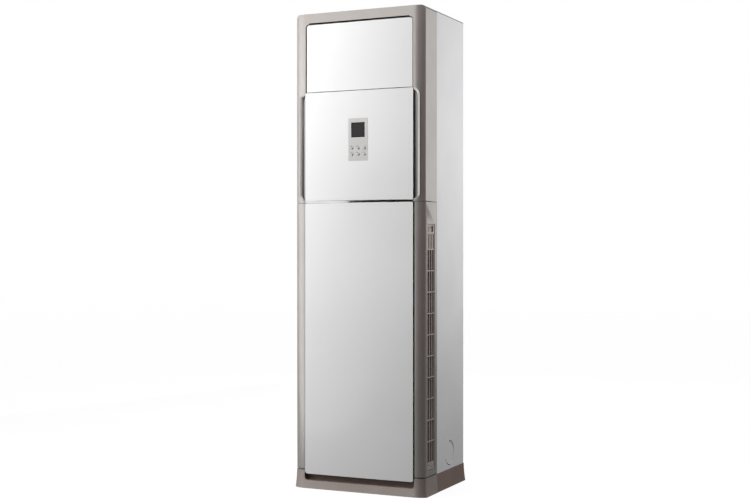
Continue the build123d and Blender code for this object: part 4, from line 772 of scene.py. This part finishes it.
display_low, display_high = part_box("display_panel")
strip_inset, strip_gap = 0.003, 0.0003
strip_proud, strip_sunk = 0.0016, 0.0004
nose_depth, nose_height = 0.0004, 0.0008
strip_low = Vector((service_low.x + strip_inset, front_y - strip_proud, service_high.z + strip_gap))
strip_high = Vector((service_high.x - strip_inset, front_y + strip_sunk, display_low.z - strip_gap))
work = bmesh.new()
ring = []
for x in (strip_low.x, strip_high.x):
    ring.append([work.verts.new((x, y, z)) for y, z in (
        (strip_high.y, strip_low.z), (strip_low.y + nose_depth, strip_low.z),
        (strip_low.y, strip_low.z + nose_height), (strip_low.y, strip_high.z - nose_height),
        (strip_low.y + nose_depth, strip_high.z), (strip_high.y, strip_high.z))])
sides = len(ring[0])
for k in range(sides):
    work.faces.new((ring[0][k], ring[0][(k + 1) % sides], ring[1][(k + 1) % sides], ring[1][k]))
work.faces.new(list(reversed(ring[0])))
work.faces.new(ring[1])
bmesh.ops.recalc_face_normals(work, faces=work.faces)
strip_mesh = bpy.data.meshes.new("bright_strip")
work.to_mesh(strip_mesh)
work.free()
strip_mesh.materials.append(plating)
strip = placed("bright_strip", strip_mesh)
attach(strip, "cabinet")

# ---- Display ----
# A silver bezel through the display panel holds a dark window over the display and six round
# domed buttons; the circuit board stands on posts behind it.


def silver_paint(name, light, dark, rough_low=0.3, rough_high=0.4, metal=0.35):
    """Fine silver paint: half metallic, with flakes just large enough to glitter close up."""
    finish, tree, shader, place = new_finish(name)
    flakes = clouds(tree, place, 0.0005, detail=0.0)
    tree.links.new(two_tone(tree, flakes, dark, light), shader.inputs["Base Color"])
    gloss = ranged(tree, clouds(tree, place, 0.02), rough_low, rough_high)
    tree.links.new(gloss, shader.inputs["Roughness"])
    grained(tree, shader, flakes, 0.000008)
    shader.inputs["Metallic"].default_value = metal
    return finish


bezel_finish = silver_paint("bezel_silver", swatch(205, 203, 202), swatch(196, 194, 193))
eased("display_bezel_moulding", "display_bezel", 0.0005, bezel_finish)


def smoked_window(name, glass, edge):
    """Smoked acrylic, clear gloss, with a black printed band round its edge."""
    finish, tree, shader, place = new_finish(name)
    low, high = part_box("display_window")
    middle = (low + high) / 2
    shift = tree.nodes.new("ShaderNodeVectorMath")
    shift.operation = "SUBTRACT"
    shift.inputs[1].default_value = middle
    tree.links.new(place, shift.inputs[0])
    reach = tree.nodes.new("ShaderNodeVectorMath")
    reach.operation = "ABSOLUTE"
    tree.links.new(shift.outputs["Vector"], reach.inputs[0])
    split = tree.nodes.new("ShaderNodeSeparateXYZ")
    tree.links.new(reach.outputs["Vector"], split.inputs["Vector"])
    far = tree.nodes.new("ShaderNodeMath")
    far.operation = "MAXIMUM"
    tree.links.new(split.outputs["X"], far.inputs[0])
    tree.links.new(split.outputs["Z"], far.inputs[1])
    half = (high.x - low.x) / 2
    band_start, band_full = half - 0.0042, half - 0.0036
    band = ranged(tree, far.outputs["Value"], 0.0, 1.0, band_start, band_full)
    tree.links.new(two_tone(tree, band, glass, edge, 0.0, 1.0), shader.inputs["Base Color"])
    tree.links.new(ranged(tree, clouds(tree, place, 0.02), 0.06, 0.1), shader.inputs["Roughness"])
    shader.inputs["Specular IOR Level"].default_value = 0.3
    return finish


window_finish = smoked_window("window_smoked", swatch(40, 38, 40), swatch(10, 8, 9))
paint(window_finish, "display_window")
button_finish = silver_paint("button_silver", swatch(206, 204, 201), swatch(196, 194, 191), 0.16, 0.22,
                             0.75)
for number in range(1, 7):
    eased(f"round_button_{number}", f"button_{number}", 0.0004, button_finish, body=f"button_{number}",
          angle=50, segments=3)

# ---- Room ----
# A pale floor and a white surround, with four soft lamps: one high at the left front, an upright
# one below it, one at the right and one behind. The camera is level with the cabinet's middle.


def flat_sheet(name, outline, height):
    """A level sheet with the given outline, as a mesh."""
    mesh = bpy.data.meshes.new(name)
    sheet = bmesh.new()
    sheet.faces.new([sheet.verts.new((x, y, height)) for x, y in outline])
    sheet.to_mesh(mesh)
    sheet.free()
    return mesh


reach = 14.0
floor_corners = ((-reach, -reach), (reach, -reach), (reach, reach), (-reach, reach))
floor_mesh = flat_sheet("floor", floor_corners, 0)
floor = placed("floor", floor_mesh)
floor.location.z = -0.0005
floor_finish, tree, shader, place = new_finish("floor_pale")
tree.links.new(two_tone(tree, clouds(tree, place, 0.8), swatch(76, 76, 76), swatch(82, 82, 82)),
               shader.inputs["Base Color"])
shader.inputs["Roughness"].default_value = 0.8
shader.inputs["Specular IOR Level"].default_value = 0.1
ray = tree.nodes.new("ShaderNodeLightPath")
lift = tree.nodes.new("ShaderNodeMath")
lift.operation = "MULTIPLY"
floor_brightness = 0.93
lift.inputs[1].default_value = floor_brightness
tree.links.new(ray.outputs["Is Camera Ray"], lift.inputs[0])
shader.inputs["Emission Color"].default_value = (1, 1, 1, 1)
tree.links.new(lift.outputs["Value"], shader.inputs["Emission Strength"])
floor_mesh.materials.append(floor_finish)

world = bpy.data.worlds.new("surround")
bpy.context.scene.world = world
world.use_nodes = True
sky = world.node_tree
sky.nodes.clear()
ray = sky.nodes.new("ShaderNodeLightPath")
seen = sky.nodes.new("ShaderNodeMath")
seen.operation = "MAXIMUM"
sky.links.new(ray.outputs["Is Camera Ray"], seen.inputs[0])
sky.links.new(ray.outputs["Is Glossy Ray"], seen.inputs[1])
seen_too = sky.nodes.new("ShaderNodeMath")
seen_too.operation = "MAXIMUM"
sky.links.new(seen.outputs["Value"], seen_too.inputs[0])
sky.links.new(ray.outputs["Is Transmission Ray"], seen_too.inputs[1])
soft = sky.nodes.new("ShaderNodeBackground")
soft.inputs["Color"].default_value = (1.0, 0.99, 0.98, 1)
soft.inputs["Strength"].default_value = 0.12
white = sky.nodes.new("ShaderNodeBackground")
white.inputs["Color"].default_value = (1, 1, 1, 1)
white.inputs["Strength"].default_value = 1.0
either = sky.nodes.new("ShaderNodeMixShader")
sky.links.new(seen_too.outputs["Value"], either.inputs["Fac"])
sky.links.new(soft.outputs["Background"], either.inputs[1])
sky.links.new(white.outputs["Background"], either.inputs[2])
out = sky.nodes.new("ShaderNodeOutputWorld")
sky.links.new(either.outputs["Shader"], out.inputs["Surface"])


def soft_lamp(name, spot, aim, width, height, watts):
    """A large white soft box, turned to what it lights and left out of gloss."""
    lamp = bpy.data.lights.new(name, "AREA")
    lamp.shape = "RECTANGLE"
    lamp.size = width
    lamp.size_y = height
    lamp.energy = watts
    holder = placed(name, lamp)
    holder.location = spot
    holder.visible_glossy = False
    holder.rotation_euler = (Vector(aim) - Vector(spot)).to_track_quat("-Z", "Y").to_euler()


soft_lamp("high_left_lamp", (-1.5, -1.65, 2.55), (0, -0.1, 1.4), 1.6, 1.6, 64)
soft_lamp("left_strip_lamp", (-1.9, -1.2, 1.3), (0, -0.2, 1.2), 0.6, 1.7, 41)
soft_lamp("right_lamp", (1.8, 0.5, 1.45), (0.27, 0.1, 1.35), 0.9, 0.9, 26)
soft_lamp("back_lamp", (-1.0, 3.4, 2.6), (0, 0, 1.0), 2.4, 2.0, 60)

# Cloths, a flag and a card that show only in gloss. The right cloth darkens the right edges, the left
# one the left side, the upper one the top of the front and the flag the bright strip. The card stands
# for a bright floor at the left front.


def felt(name, dark, light):
    """Dull felt that drifts between two close tones."""
    finish, tree, shader, place = new_finish(name)
    tree.links.new(two_tone(tree, clouds(tree, place, 0.3), dark, light), shader.inputs["Base Color"])
    shader.inputs["Roughness"].default_value = 1.0
    return finish


cloth_finish = felt("cloth_dark", swatch(106, 64, 60), swatch(120, 76, 72))
flag_finish = felt("flag_black", swatch(30, 26, 25), swatch(38, 33, 32))


def seen_in_gloss_only(piece):
    """Hides a piece from the camera, from soft light and from the shadows."""
    piece.visible_camera = False
    piece.visible_diffuse = False
    piece.visible_shadow = False


def dark_cloth(name, foot, low=0.0, high=3.0, finish=cloth_finish):
    """A dark cloth that hangs over a line of floor points and shows only in gloss."""
    mesh = bpy.data.meshes.new(name)
    sheet = bmesh.new()
    posts = [[sheet.verts.new((x, y, z)) for z in (low, high)] for x, y in foot]
    for near, far in zip(posts, posts[1:]):
        sheet.faces.new((near[0], far[0], far[1], near[1]))
    sheet.to_mesh(mesh)
    sheet.free()
    mesh.materials.append(finish)
    cloth = placed(name, mesh)
    seen_in_gloss_only(cloth)


card_finish, tree, shader, place = new_finish("card_white")
tree.links.new(two_tone(tree, clouds(tree, place, 0.3), swatch(252, 252, 252), swatch(255, 255, 255)),
               shader.inputs["Emission Color"])
shader.inputs["Emission Strength"].default_value = 1.0
card_outline = ((-8, -8.5), (-3.5, -8.5), (-1.6, -4), (-0.75, -1.6), (-1.35, -1.1), (-8, -1))
card_mesh = flat_sheet("floor_card", card_outline, 0.002)
card_mesh.materials.append(card_finish)
card = placed("floor_card", card_mesh)
seen_in_gloss_only(card)
dark_cloth("seam_flag", ((-1.36, -2.9), (1.2, -2.95)), low=0.95, high=1.45, finish=flag_finish)
dark_cloth("upper_cloth", ((-3.6, -1.2), (-1.29, -2.91)), low=2.3, high=4.0)
dark_cloth("right_cloth", ((-0.1, -2.99), (2.2, -3.04), (3.4, 0.5), (2.6, 3.6)))
dark_cloth("left_cloth", ((-3.2, -0.9), (-2.2, 3.2)))

camera_data = bpy.data.cameras.new("camera")
camera_data.sensor_width = 36
camera_data.lens = 61.161
camera = placed("camera", camera_data)
camera.location = (2.08340554, -4.54886198, 0.91668786)
camera.rotation_euler = (math.radians(90), 0, math.radians(24.874353))
bpy.context.scene.camera = camera
bpy.context.scene.view_settings.view_transform = "Standard"
